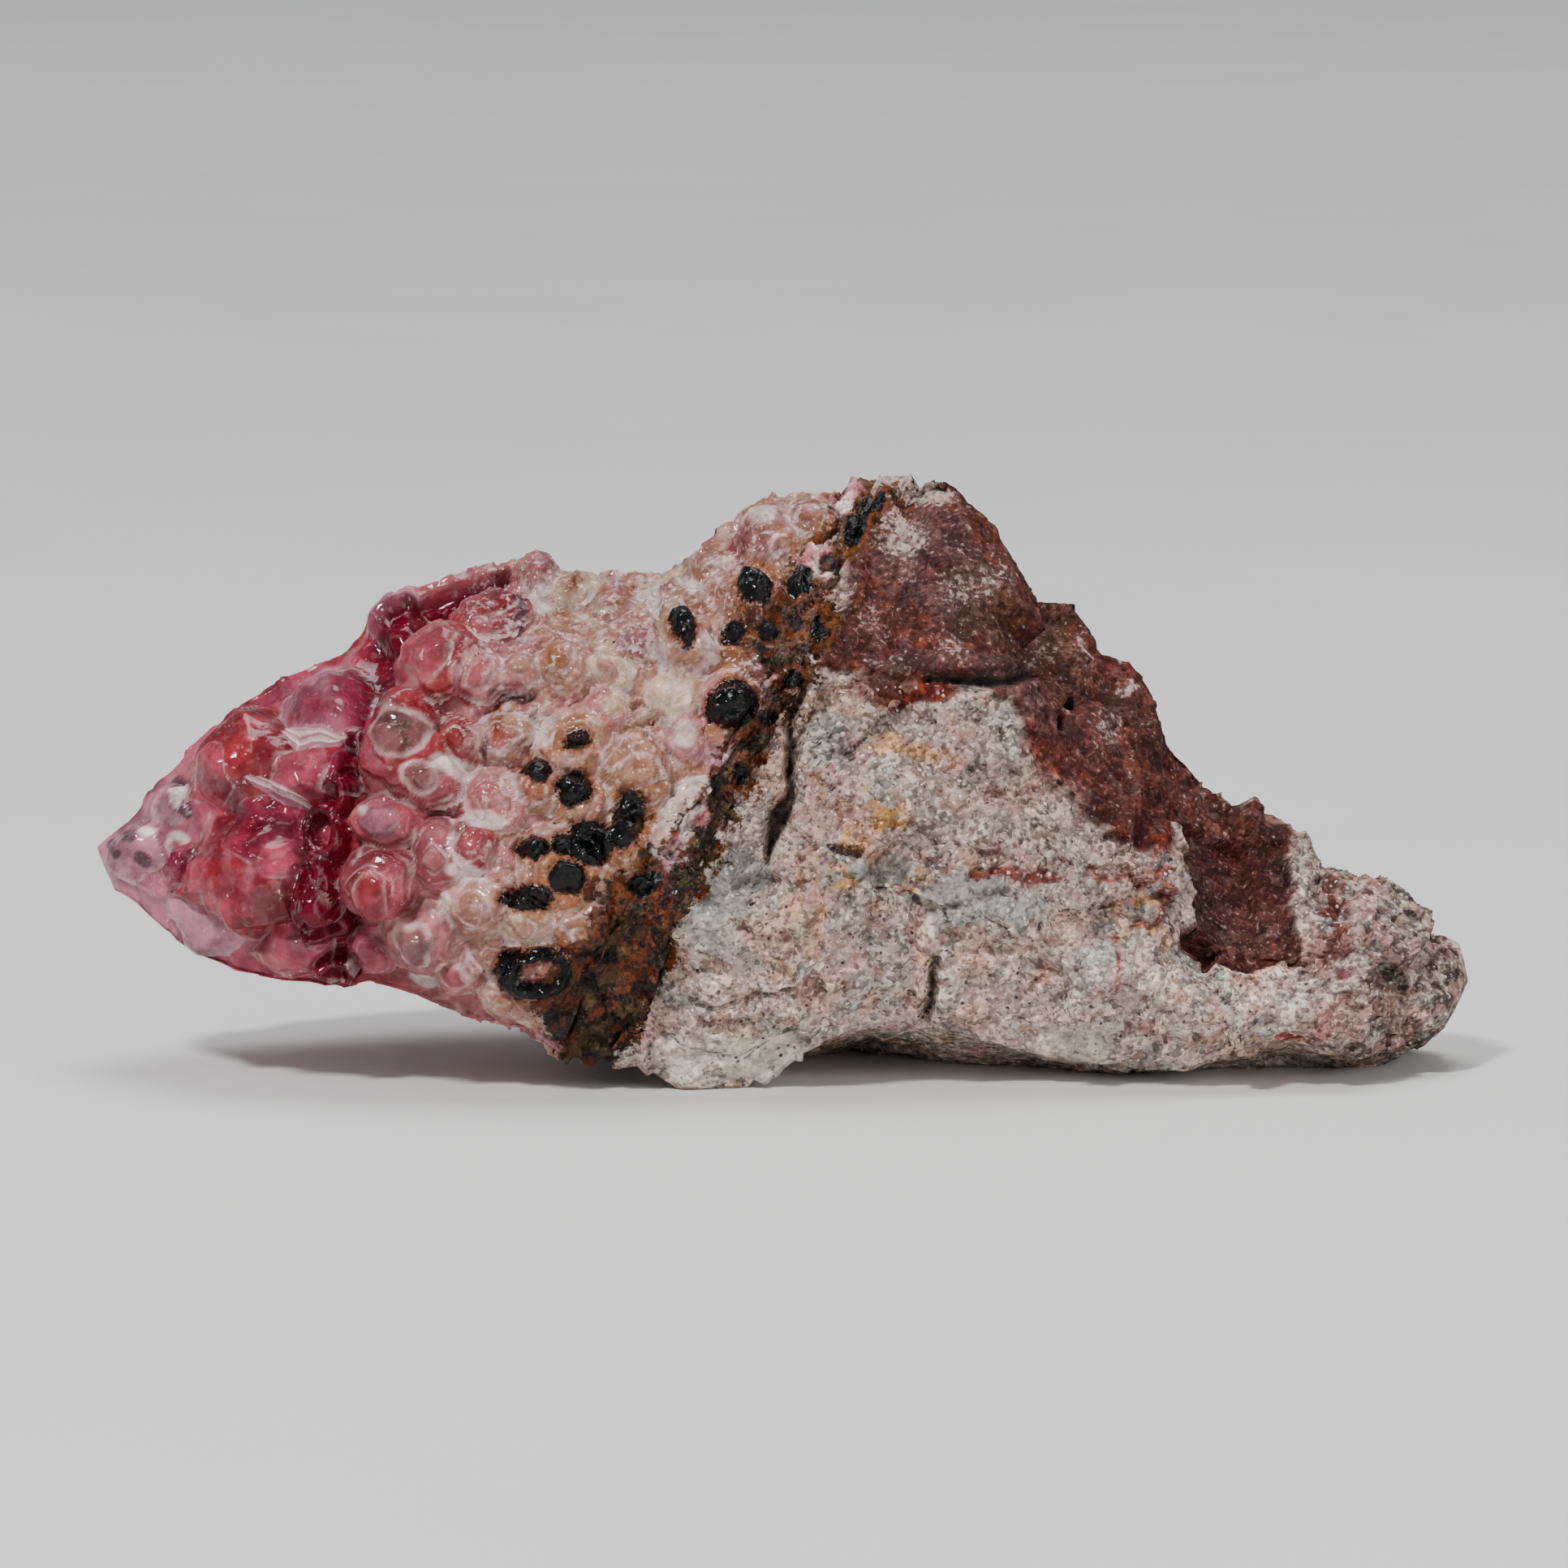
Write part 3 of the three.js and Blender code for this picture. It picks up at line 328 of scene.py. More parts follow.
# Thin red-brown veins: chains of x, z, radius.
ROCK_VEINS = [
    [(13.6, 15.7, 0.3), (15, 16.4, 0.35), (17.4, 16.2, 0.4), (19.4, 15.9, 0.35)],
    [(21.6, 16.1, 0.15), (25, 15, 0.2), (26.9, 14.9, 0.35), (27, 13.4, 0.35), (25.6, 12.6, 0.25),
     (24.3, 12.1, 0.15)],
    [(26, 16.4, 0.4), (27, 17.4, 0.3)],
    [(23.4, 6.6, 0.1), (24, 9.4, 0.15), (23.2, 11.4, 0.1)],
]

# ------------------------------------ grids and sizes

CRUST_ROWS, SEAM_ROWS, ROCK_ROWS = 262, 34, 262
COLUMNS = 352
CAP_ROWS = 4  # rows that close a skin over a contact
FACE_SHARE = 0.7  # share of the columns that lies between the crest and the front foot
FACE_END = 0.6  # share of the way round where those columns end
TIP_FADE = 3.0  # distance from either end over which the relief fades
HALO_REACH = 1.5  # width of the amber halo round a black nugget, which ends in a pale line
WARM_REACH = 5.0  # width of the amber stain round the oxide
STAIN_WIDTH = 2.4  # how far the oxide stains the calcite beside the seam's foot
FAR_OFF = 9.0  # a distance at which no mark shows
SPOT_EDGE = 1.25  # where a spot's soft edge ends, in its radii
SECOND_REACH = 1.4  # how far out, in radii, a neighbouring nodule still counts
FLASH_REACH = 1.4  # how far a cleavage face and its painted glint reach, in its radii
RIM_START_Z, RIM_STEPS, RIM_STRIDE = 18.0, 14, 0.8  # the search for a skin's rim, and the share of each step
CONTACT_OVERLAP = 0.08  # how far a finished skin runs past its contact

DRUSE_COUNT, DRUSE_RADIUS = 50, (2.6, 4.4)
DRUSE_X, DRUSE_ROUND = (-43.5, -6.0), (0.7, 0.94)
SMALL_COUNT, SMALL_RADIUS = 760, (0.55, 1.6)
SMALL_X, SMALL_ROUND = (-48.5, 4.0), (0.66, 0.96)
RHOMB_HEIGHT, RHOMB_SINK = 0.85, 0.15
SCATTER_X, SCATTER_ROUND = 0.7549, 0.5698  # steps of an even scatter along the skin and round it
CRYSTAL_BEVEL, CRYSTAL_LEAN, CRYSTAL_TURN = 0.06, 0.7, 6.283
TIP_CRYSTALS = 0.55  # size of the crystals at the tip, next to the others
GRAIN_SIZE = 0.36  # of the rock's sugary grains
COARSE_GRAIN, FACET_GRAIN = 2.6, 1.3  # sizes of the coarse grains and the facets, in grain sizes
GRAIN_BEND = 0.14  # how far noise bends the grains' edges

# Depths and heights that the relief adds, in mm.
SUGAR_CHIPS, SUGAR_GRAIN, TIP_FACETS, CRUST_SWELLS = 0.4, 0.12, 0.22, 0.35
SEAM_ROLL, SEAM_SINK, SEAM_CHIPS, SEAM_CRUMBS, SEAM_RISE = 0.5, 0.5, 0.5, 0.3, 0.3
ROCK_LUMPS, ROCK_LEDGES = 0.9, 1.9
LARGE_CHIPS, SMALL_CHIPS, CRUMBS, DUST = 0.6, 0.32, 0.26, 0.12
FISSURE_DEPTH, RUN_HEIGHT, RUN_GROOVE = 1.3, 1.5, 0.5
NUGGET_HEIGHT, NUGGET_GROOVE, PLATE_EDGE = 0.55, 0.25, 0.7
SCOOP_DEPTH, LIP_HEIGHT, LEDGE_DEPTH, CRACK_DEPTH = 1.1, 0.5, 0.9, 1.3
HOLLOW_REACH = 7.0  # how far a hollow of the rock reaches along Y
DOME_SHARE, SHELL_SHARE = 0.62, 0.38  # shares of a nodule's height in its dome and in its two shells
PYRAMID_SLOPE, PYRAMID_TOP = 1.35, 0.8  # a glassy crystal's sides and its flat top, in shares of its relief
# Smooth steps along the specimen: the x where each starts, and its width.
GLASSY_BODY, GLASSY_FINISH, FACETED_TIP = (-19, 9), (-18, 10), (-27, 5)
MILKY_NODULES, PALE_BACK = (-28, 10), (-24, 16)
SCOOP, SPECKLED_TAIL = (27, 2), (36, 4)

# ------------------------------------ the camera

VIEW_ELEVATION = 8.0  # degrees
VIEW_DISTANCE = 600.0
VIEW_WIDTH = 114.4  # width that the frame spans at the specimen
VIEW_HEIGHT = 20.4  # height of the point that the camera looks at
SENSOR = 36.0


def srgb(red, green, blue):
    """The linear colour of three display values from 0 to 255."""
    shares = (value / 255 for value in (red, green, blue))
    return tuple(c / 12.92 if c <= 0.04045 else ((c + 0.055) / 1.055) ** 2.4 for c in shares)


# ------------------------------------ settings


def colour_setting(name, description, default):
    """A colour that the sidebar shows."""
    return FloatVectorProperty(
        name=name, description=description, subtype="COLOR", size=3, min=0, max=1, default=default,
    )


def power_setting(name, description, default):
    """A light's power that the sidebar shows."""
    return FloatProperty(name=name, description=description, default=default, min=0, max=200)


class DruseColours(bpy.types.PropertyGroup):
    """Colours of the calcite and of the oxide on it."""

    crimson: colour_setting("Crimson", "Fissure, run and darkest crystals", srgb(88, 2, 22))
    magenta: colour_setting("Magenta", "Upper facets of the glassy crystals", srgb(124, 26, 54))
    rose: colour_setting("Rose", "Glassy crystals", srgb(160, 66, 84))
    coral: colour_setting("Coral", "Red calcite between the nodules", srgb(126, 30, 38))
    salmon: colour_setting("Salmon", "Warm pink nodules", srgb(150, 64, 72))
    blush: colour_setting("Blush", "Pale pink nodules", srgb(172, 104, 102))
    peach: colour_setting("Peach", "Orange-pink nodules", srgb(172, 122, 102))
    amber: colour_setting("Amber", "Halos of the black nuggets", srgb(150, 92, 56))
    tan: colour_setting("Tan", "Brownish nodules", srgb(150, 102, 80))
    cream: colour_setting("Cream", "Yellowish nodules", srgb(200, 172, 140))
    white: colour_setting("White", "Milky calcite and the rims of the nodules", srgb(222, 200, 192))
    lilac: colour_setting("Lilac", "Clear rims of the tip", srgb(166, 112, 128))
    mauve: colour_setting("Mauve", "Purplish crystals", srgb(146, 84, 100))
    smoke: colour_setting("Smoke", "Greyish middles of the nodules", srgb(104, 74, 70))
    plum: colour_setting("Plum", "Dark spots in the tip", srgb(56, 32, 52))
    umber: colour_setting("Umber", "Oxide", srgb(22, 12, 6))
    olive: colour_setting("Olive", "Greenish-brown patches of the oxide", srgb(84, 64, 34))
    rust: colour_setting("Rust", "Flecks in the oxide", srgb(112, 54, 18))
    nugget: colour_setting("Nugget", "Black-green nuggets", srgb(2, 5, 6))


class RockColours(bpy.types.PropertyGroup):
    """Colours of the host rock."""

    sand: colour_setting("Sand", "Broken rock", srgb(180, 164, 150))
    chalk: colour_setting("Chalk", "Pale granular patches", srgb(188, 170, 160))
    quartz: colour_setting("Quartz", "Smooth pale blocks", srgb(174, 164, 154))
    grit: colour_setting("Grit", "White grains", srgb(226, 216, 206))
    slate: colour_setting("Slate", "Smooth blue-grey patches", srgb(141, 138, 134))
    rosy: colour_setting("Rosy", "Pinkish patches", srgb(180, 140, 128))
    ochre: colour_setting("Ochre", "Yellow-brown stains", srgb(184, 128, 54))
    brick: colour_setting("Brick", "Red stains and veins", srgb(116, 40, 24))
    brown: colour_setting("Brown", "Weathered slope", srgb(82, 37, 25))
    plum: colour_setting("Plum", "Purplish specks", srgb(74, 54, 56))
    dun: colour_setting("Dun", "Olive-brown patches of the weathered slope", srgb(76, 56, 40))
    # Also the colour of the painted shade in the scoop.
    shadow: colour_setting("Shadow", "Darkest part of the weathered slope", srgb(32, 15, 10))


class FinishSettings(bpy.types.PropertyGroup):
    """Finish of the three layers."""

    crystal_count: IntProperty(
        name="Small crystals", description="Small crystals between the large ones",
        default=SMALL_COUNT, min=0, max=1500,
    )
    nodule_swell: FloatProperty(
        name="Nodule swell", description="How far the nodules stand out", default=SWELL, min=0.5, max=3,
    )
    grain_size: FloatProperty(
        name="Grain size", description="Size of the rock's grains, mm", default=GRAIN_SIZE, min=0.1, max=1,
    )


class StageSettings(bpy.types.PropertyGroup):
    """The floor, the lights and the camera."""

    floor_colour: colour_setting("Floor", "Plain pale floor", srgb(214, 214, 212))
    key_power: power_setting("Key light", "Power of the main light", 7.0)
    fill_power: power_setting("Fill light", "Power of the fill light", 2.6)
    top_power: power_setting("Top light", "Power of the light above", 4.0)
    backdrop_power: power_setting("Backdrop lights", "Power of each light on the backdrop", 14.0)
    sky_strength: FloatProperty(
        name="Surroundings", description="Brightness of the surroundings", default=0.3, min=0, max=5,
    )
    distance: FloatProperty(
        name="Camera distance", description="From the camera to the specimen",
        subtype="DISTANCE", unit="LENGTH", default=VIEW_DISTANCE * MM, min=0.2, max=3,
    )


# ------------------------------------ numbers and noise


def mix(a, b, share):
    """From a to b by a share."""
    return a + (b - a) * share


def smooth(t):
    """An S-shaped step from 0 to 1."""
    t = np.clip(t, 0, 1)
    return t * t * (3 - 2 * t)


def rising(value, start, width):
    """A smooth step that is 0 up to start and 1 from a width above it."""
    return smooth((value - start) / width)


def falling(value, start, width):
    """A smooth step that is 0 down to start and 1 from a width below it."""
    return smooth((start - value) / width)


def half_round(t):
    """Height of half a circle of radius 1 at a distance from its middle, and 0 beyond it."""
    return np.sqrt(np.clip(1 - t * t, 0, 1))


# A weight for each of the hash's whole numbers and for its seed, and how far its sine is stretched.
HASH_WEIGHTS, HASH_STRETCH = (12.9898, 78.233, 37.719, 53.17), 43758.5453
OCTAVE_FINER, OCTAVE_WEAKER = 2.03, 0.5  # each octave of noise next to the one before
CHIP_TILT = 1.6


def hashed(i, j, k, seed):
    """A repeatable number from 0 to 1 for three whole numbers and a seed."""
    of_i, of_j, of_k, of_seed = HASH_WEIGHTS
    value = np.sin(i * of_i + j * of_j + k * of_k + seed * of_seed) * HASH_STRETCH
    return value - np.floor(value)


def noise(p, seed):
    """Lattice noise from -1 to 1: the eight corner values of a point's cell, blended by S-shaped shares."""
    base = np.floor(p)
    share = smooth(p - base)
    total = np.zeros(p.shape[:-1])
    for corner in np.ndindex(2, 2, 2):
        weight = np.ones(p.shape[:-1])
        for axis, side in enumerate(corner):
            weight = weight * (share[..., axis] if side else 1 - share[..., axis])
        total += weight * hashed(*(base[..., axis] + corner[axis] for axis in range(3)), seed)
    return 2 * total - 1


def layered(p, seed, octaves):
    """Noise in octaves, each about twice as fine and half as strong as the one before."""
    total = np.zeros(p.shape[:-1])
    for octave in range(octaves):
        total += noise(p * OCTAVE_FINER**octave, seed + octave) * OCTAVE_WEAKER**octave
    return total


def patches(p, scale, seed, octaves, low, width):
    """Soft-edged patches: layered noise, 0 up to a level and 1 from a width above it."""
    return rising(layered(p * scale, seed, octaves), low, width)


def warped(p, scale, amount, seed):
    """Points pushed about by three noises."""
    shift = np.stack([noise(p * scale, seed + axis) for axis in range(3)], -1)
    return p + amount * shift


def chips(p, seed):
    """Chipped facets: each point takes the tilted plane of the cell whose jittered seed point is nearest."""
    base = np.floor(p)
    nearest = np.full(p.shape[:-1], np.inf)
    height = np.zeros(p.shape[:-1])
    for shift in np.ndindex(3, 3, 3):
        cell = base + np.array(shift) - 1
        key = [cell[..., axis] for axis in range(3)]
        off = np.stack([p[..., axis] - key[axis] - hashed(*key, seed + axis) for axis in range(3)], -1)
        away = np.sqrt((off**2).sum(-1))
        tilt = sum(off[..., axis] * (hashed(*key, seed + 3 + axis) - 0.5) for axis in range(3))
        nearer = away < nearest
        nearest = np.where(nearer, away, nearest)
        height = np.where(nearer, CHIP_TILT * tilt + hashed(*key, seed + 6) - 0.5, height)
    return height


# ------------------------------------ the undisturbed skin


def straight(rail, x):
    """A rail's value at x, straight between its points."""
    return np.interp(x, rail[:, 0], rail[:, 1])


def curved(rail, x):
    """A rail's value at x, on the cubic between two points that has the slopes of their neighbours' chords."""
    at, value = rail.T
    last = len(at) - 1
    order = np.arange(last + 1)
    after, before = np.minimum(order + 1, last), np.maximum(order - 1, 0)
    slope = (value[after] - value[before]) / (at[after] - at[before])
    n = np.clip(np.searchsorted(at, x, side="right"), 1, last)
    width = at[n] - at[n - 1]
    t = np.clip((x - at[n - 1]) / width, 0, 1)
    bow = (1 - t) * slope[n - 1] - t * slope[n]
    return mix(value[n - 1], value[n], smooth(t)) + t * (1 - t) * width * bow


def ring_corners(x):
    """The ring's seven corners at each x, as y and z.

    They are the crest, the ridge, the front's bulge and foot, and the back's foot, bulge and shoulder.
    """
    top, bottom = straight(TOP_EDGE, x), straight(BOTTOM_EDGE, x)
    front, back = curved(FRONT_Y, x), curved(BACK_Y, x)
    ridge = np.clip(curved(RIDGE_Z, x), mix(bottom, top, RIDGE_LOW), mix(bottom, top, RIDGE_HIGH))
    high, deep = top - bottom, back - front
    return np.array([
        (curved(CREST_Y, x), top),
        (front + FRONT_INSET * deep, ridge),
        (front, mix(bottom, ridge, BULGE_RISE)),
        (front + FRONT_INSET * deep, bottom),
        (back - BACK_FOOT_INSET * deep, straight(BACK_FOOT, x)),
        (back, bottom + BULGE_RISE * high),
        (back - SHOULDER_INSET * deep, bottom + SHOULDER_RISE * high),
    ])


def skin(x, about):
    """The undisturbed skin at x and a share of the way round.

    It is the straight line between two corners of the ring, pulled round by the slopes of its neighbours.
    """
    x, about = np.broadcast_arrays(np.asarray(x, float), np.asarray(about, float))
    flat_x, flat_about = x.ravel(), about.ravel() % 1
    corners = ring_corners(flat_x)
    starts = np.concatenate([[0], np.cumsum(RING_SHARES)])
    n = np.clip(np.searchsorted(starts, flat_about, side="right") - 1, 0, CORNERS - 1)
    t = np.clip((flat_about - starts[n]) / RING_SHARES[n], 0, 1)[:, None]
    column = np.arange(len(flat_x))
    p, q, r, s = (corners[(n + step) % CORNERS, :, column] for step in (-1, 0, 1, 2))
    angular = rising(flat_x, ROUND_TO_X, ANGULAR_FROM_X - ROUND_TO_X)
    rounding = mix(CALCITE_ROUNDING, ROCK_ROUNDING, angular)[:, None]
    pull = t * (1 - t) * 0.5 * (-(1 - t) * (2 * q - r - p) - t * (s - 2 * r + q))
    points = np.concatenate([flat_x[:, None], mix(q, r, t) + rounding * pull], 1)
    return points.reshape(x.shape + (3,))


def outward(x, about):
    """The skin's outward direction: the cross product of the ways round and along it."""
    before = np.maximum(x - ALONG_STEP, TIP_X + END_MARGIN)
    after = np.minimum(x + ALONG_STEP, TAIL_X - END_MARGIN)
    along = skin(after, about) - skin(before, about)
    round_way = skin(x, about + AROUND_STEP) - skin(x, about - AROUND_STEP)
    normal = np.cross(round_way, along)
    return normal / np.maximum(np.linalg.norm(normal, axis=-1, keepdims=True), 1e-12)


def on_face(x, z):
    """The skin point of the broken face at x and z."""
    ring = skin(x, np.arange(0, FACE_FOOT, FACE_STEP))
    return ring[np.abs(ring[:, 2] - z).argmin()]


def faceward(p):
    """1 on the broken face and 0 on the back."""
    return smooth((curved(CREST_Y, p[..., 0]) + FACE_EDGE - p[..., 1]) / FACE_BLEND)


# ------------------------------------ marks on the face


def blob(p, x, z, wide, high, tilt=0.0):
    """Distance from an ellipse's middle in its own radii, as seen on the broken face."""
    dx, dz = p[..., 0] - x, p[..., 2] - z
    across, up = dx * math.cos(tilt) + dz * math.sin(tilt), dz * math.cos(tilt) - dx * math.sin(tilt)
    return np.sqrt((across / wide) ** 2 + (up / high) ** 2) + BACK_AWAY * (1 - faceward(p))


def chain(p, points):
    """Distance in mm outside a chain of discs joined along straight lines, negative inside it."""
    nearest = np.full(p.shape[:-1], np.inf)
    flat = p[..., (0, 2)]
    for (xa, za, ra), (xb, zb, rb) in zip(points[:-1], points[1:]):
        start, way = np.array([xa, za]), np.array([xb - xa, zb - za])
        t = np.clip(((flat - start) @ way) / (way @ way), 0, 1)
        away = np.linalg.norm(flat - start - t[..., None] * way, axis=-1) - mix(ra, rb, t)
        nearest = np.minimum(nearest, away)
    return nearest + BACK_AWAY_MM * (1 - faceward(p))


def inside(p, outline):
    """Distance in mm inside an outline on the broken face, negative outside it."""
    flat = p[..., (0, 2)]
    nearest = np.full(p.shape[:-1], np.inf)
    crossings = np.zeros(p.shape[:-1], bool)
    for a, b in zip(outline, np.roll(outline, -1, axis=0)):
        way = b - a
        t = np.clip(((flat - a) @ way) / (way @ way), 0, 1)
        nearest = np.minimum(nearest, np.linalg.norm(flat - a - t[..., None] * way, axis=-1))
        spans = (a[1] > flat[..., 1]) != (b[1] > flat[..., 1])
        rise = way[1] if abs(way[1]) > 1e-9 else 1e-9
        crossings ^= spans & (flat[..., 0] < a[0] + (flat[..., 1] - a[1]) / rise * way[0])
    return np.where(crossings, nearest, -nearest)


def paint(tint, colour, mask):
    """Lays a colour, or another tint, over a tint where the mask is 1."""
    return tint + (np.array(colour) - tint) * mask[..., None]


def all_over(p, colour):
    """The same colour at every point."""
    return np.broadcast_to(colour, p.shape)


def lit(tint, factor):
    """A tint made darker or lighter by a factor at each point."""
    return tint * factor[..., None]


# ------------------------------------ the calcite's relief and marks

CRYSTAL_SIDES = 5
CRYSTAL_FLATNESS = 0.6  # how much a crystal counts distances along Y, next to those across the face
CORE_FACETING = 0.3  # from 0 for a round core to 1 for one with flat sides
# Where a nodule's shells end, in its radii: the least, and how much more it may be.
INNER_SHELL, OUTER_SHELL = (0.4, 0.16), (0.74, 0.12)
LOOP_STEPS = 11
CRYSTAL_SEATS = [(on_face(x, z), radius, relief) for x, z, radius, relief, _ in GLASSY_CRYSTALS]
CORE_SEATS = [on_face(x, z) for x, z, *_ in CORES]
NODULE_SEATS = [(on_face(x, z), NODULE_SPREAD * radius, relief) for x, z, radius, relief, _, _ in NODULES]
SEATS = [*NODULE_SEATS, *CRYSTAL_SEATS]
SHELL_NAMES = [row[4] for row in (*NODULES, *GLASSY_CRYSTALS)] + ["white"]
CORE_NAMES = [row[-1] for row in (*NODULES, *GLASSY_CRYSTALS)] + ["white"]


def facet_distance(offset, radius, n):
    """Distance from a crystal's middle in its own radii, measured square to its five flat sides."""
    most = np.zeros(offset.shape[:-1])
    for side in range(CRYSTAL_SIDES):
        angle = math.tau / CRYSTAL_SIDES * (side + 0.5 * hashed(n, side, 0, 5))
        most = np.maximum(most, math.cos(angle) * offset[..., 0] + math.sin(angle) * offset[..., 2])
    return np.hypot(most, CRYSTAL_FLATNESS * offset[..., 1]) / radius


def growths(p):
    """Which nodule or crystal holds each point, and its distances from that middle and the next, in radii."""
    q = warped(p, 0.45, 0.55, 301)
    q = warped(q, 1.3, 0.2, 311)
    nearest, second = np.ones(p.shape[:-1]), np.full(p.shape[:-1], SECOND_REACH)
    which = np.full(p.shape[:-1], -1)
    for n, (centre, radius, _) in enumerate(SEATS):
        offset = q - centre
        crystal = n - len(NODULE_SEATS)
        t = np.linalg.norm(offset, axis=-1) / radius if crystal < 0 else facet_distance(offset, radius, crystal)
        nearer = t < nearest
        second = np.where(nearer, nearest, np.minimum(second, t))
        nearest = np.where(nearer, t, nearest)
        which = np.where(nearer, n, which)
    return which, nearest, second


def core_spots(p):
    """Each small core's row of the table, with how far out the points lie in that core's radii."""
    q = warped(warped(p, 0.3, 0.5, 476), 0.8, 0.3, 471)
    for n, row in enumerate(CORES):
        away = q - CORE_SEATS[n]
        round_out = np.linalg.norm(away, axis=-1) / row[2]
        yield row, mix(round_out, facet_distance(away, row[2], n + len(CRYSTAL_SEATS)), CORE_FACETING)


def loop(x, z, wide, high, radius):
    """A closed chain of discs round an ellipse."""
    angles = np.linspace(0, math.tau, LOOP_STEPS)
    return [(x + wide * math.cos(angle), z + high * math.sin(angle), radius) for angle in angles]


def run_distance(p):
    """Distance in mm outside the crimson run, negative inside it."""
    q = warped(p, 0.9, 0.2, 351)
    chains = [*CRIMSON_STEMS, *(loop(*row) for row in CRIMSON_LOOPS)]
    return np.min([chain(q, points) for points in chains], axis=0)


def fissure_distance(p):
    """Distance in mm outside the crimson fissure, negative inside it."""
    return chain(warped(p, 0.6, 0.35, 361), CRIMSON_FISSURE)


def nugget_distance(p):
    """Distance in mm outside the nearest black nugget, negative inside, with a ragged edge."""
    q = warped(p, 1.1, 0.28, 391)
    nearest = np.full(p.shape[:-1], FAR_OFF)
    for row in NUGGETS:
        nearest = np.minimum(nearest, (blob(q, *row) - 1) * min(row[2:4]))
    ring, core = ((blob(q, *row) - 1) * min(row[2:4]) for row in (RING_NUGGET, RING_CORE))
    return np.minimum(nearest, np.maximum(ring, -core))


def oxide_distance(p):
    """Distance in mm outside the nearest oxide patch, negative inside, with a ragged edge."""
    q = warped(warped(p, 0.55, 0.6, 401), 1.7, 0.28, 411)
    nearest = np.full(p.shape[:-1], FAR_OFF)
    for x, z, radius in OXIDE_PATCHES:
        nearest = np.minimum(nearest, (blob(q, x, z, radius, radius) - 1) * radius)
    return nearest


def shell_edges(which):
    """Where a nodule's inner and outer shells end, in its radii."""
    turn = hashed(which, 7, 0, 9)
    return INNER_SHELL[0] + INNER_SHELL[1] * turn, OUTER_SHELL[0] + OUTER_SHELL[1] * turn


def crust_relief(p, swell=SWELL):
    """Height of the calcite over its skin: domes with stepped shells, flat-topped crystals, chipped ground."""
    which, t, _ = growths(p)
    radius = np.array([s[1] for s in SEATS] + [1.0])[which]
    relief = np.array([s[2] for s in SEATS] + [0.0])[which]
    inner, outer = shell_edges(which)
    shells = 0.5 * smooth((inner - t) * radius / 0.3) + 0.5 * smooth((outer - t) * radius / 0.25)
    dome = DOME_SHARE * half_round(t) + SHELL_SHARE * shells
    pyramid = np.minimum(PYRAMID_SLOPE * (1 - t), PYRAMID_TOP)
    height = swell * relief * np.where(which >= len(NODULE_SEATS), pyramid, dome) * (which >= 0)
    glassy = falling(p[..., 0], *GLASSY_BODY)
    sugary = 1 - glassy * faceward(p)
    chipped = SUGAR_CHIPS * chips(p * 0.85, 321) * (1 - 0.6 * (which >= 0))
    fine = sugary * (chipped + SUGAR_GRAIN * layered(p * 1.1, 331, 3))
    facets = falling(p[..., 0], *FACETED_TIP) * TIP_FACETS * chips(p * 0.3, 341)
    for (*_, core_radius, rise, _, _), out in core_spots(p):
        height += rise * (0.3 * smooth((1 - out) * core_radius / 0.6) + 0.6 * half_round(out))
    height += fine + facets - CRUST_GROUND + CRUST_SWELLS * noise(p * 0.35, 11)
    height = mix(height, height - FISSURE_DEPTH, falling(fissure_distance(p), 0.5, 1.1))
    run = run_distance(p)
    height += RUN_HEIGHT * np.sqrt(np.clip(-run, 0, 1)) - RUN_GROOVE * falling(np.abs(run), 0.45, 0.45)
    lump = nugget_distance(p)
    height += NUGGET_HEIGHT * smooth(-lump / 0.6) * (1 + 0.5 * noise(p * 1.9, 371))
    height -= NUGGET_GROOVE * smooth(1 - np.abs(lump) / 0.3)
    for crack in DARK_CRACKS:
        height -= PLATE_EDGE * falling(chain(warped(p, 0.9, 0.15, 381), crack), 0.35, 0.35)
    return height


def crust_ground(p, x, palette):
    """Colour of the calcite between its nodules: lilac at the tip to peach at the seam, with pale patches."""
    ends = np.array([palette[name] for name in GROUND_COLOURS]).T
    ground = np.stack([np.interp(x, GROUND_X, values) for values in ends], -1)
    ground = paint(ground, palette["white"], 0.6 * patches(p, 0.9, 431, 3, 0.1, 0.4) * rising(x, -30, 12))
    ground = paint(ground, palette["cream"], 0.6 * patches(p, 0.5, 436, 3, 0.1, 0.3) * rising(x, -22, 6))
    dull = 0.5 * patches(p, 0.7, 439, 3, 0.3, 0.3)
    ground = paint(ground, palette["mauve"], dull * falling(x, -10, 6))
    return paint(ground, palette["tan"], dull * rising(x, -16, 6))


def crust_back(p, x, palette):
    """Colour of the calcite's back: rose and magenta, paler towards the seam."""
    back = paint(all_over(p, palette["rose"]), palette["magenta"], patches(p, 0.25, 441, 3, -0.5, 1.0))
    return paint(back, palette["blush"], rising(x, *PALE_BACK))


def crust_bodies(p, which, t, radius, milky, palette):
    """Colour of the nodules and crystals: a core in a shell that is darkened below its rim by painted shade,
    with soft clouds.
    """
    inner, outer = shell_edges(which)
    shell, core = (np.array([palette[name] for name in names])[which] for names in (SHELL_NAMES, CORE_NAMES))
    body = paint(shell, core, 0.75 * smooth((inner - t) * radius / 0.3))
    # Painted shade on the low outer part of each dome, just inside its rim, towards the crevices between
    # nodules.
    body = lit(body, 1 - 0.22 * smooth((t - outer) * radius / 0.3) * smooth((0.97 - t) * radius / 0.3))
    cloudy = 0.35 * patches(p, 0.8, 446, 3, 0.1, 0.5)
    body = paint(paint(body, palette["mauve"], cloudy * (1 - milky)), palette["tan"], cloudy * milky)
    return paint(body, palette["white"], mix(0.08, 0.3, milky) * patches(p, 0.9, 449, 3, 0.25, 0.5))


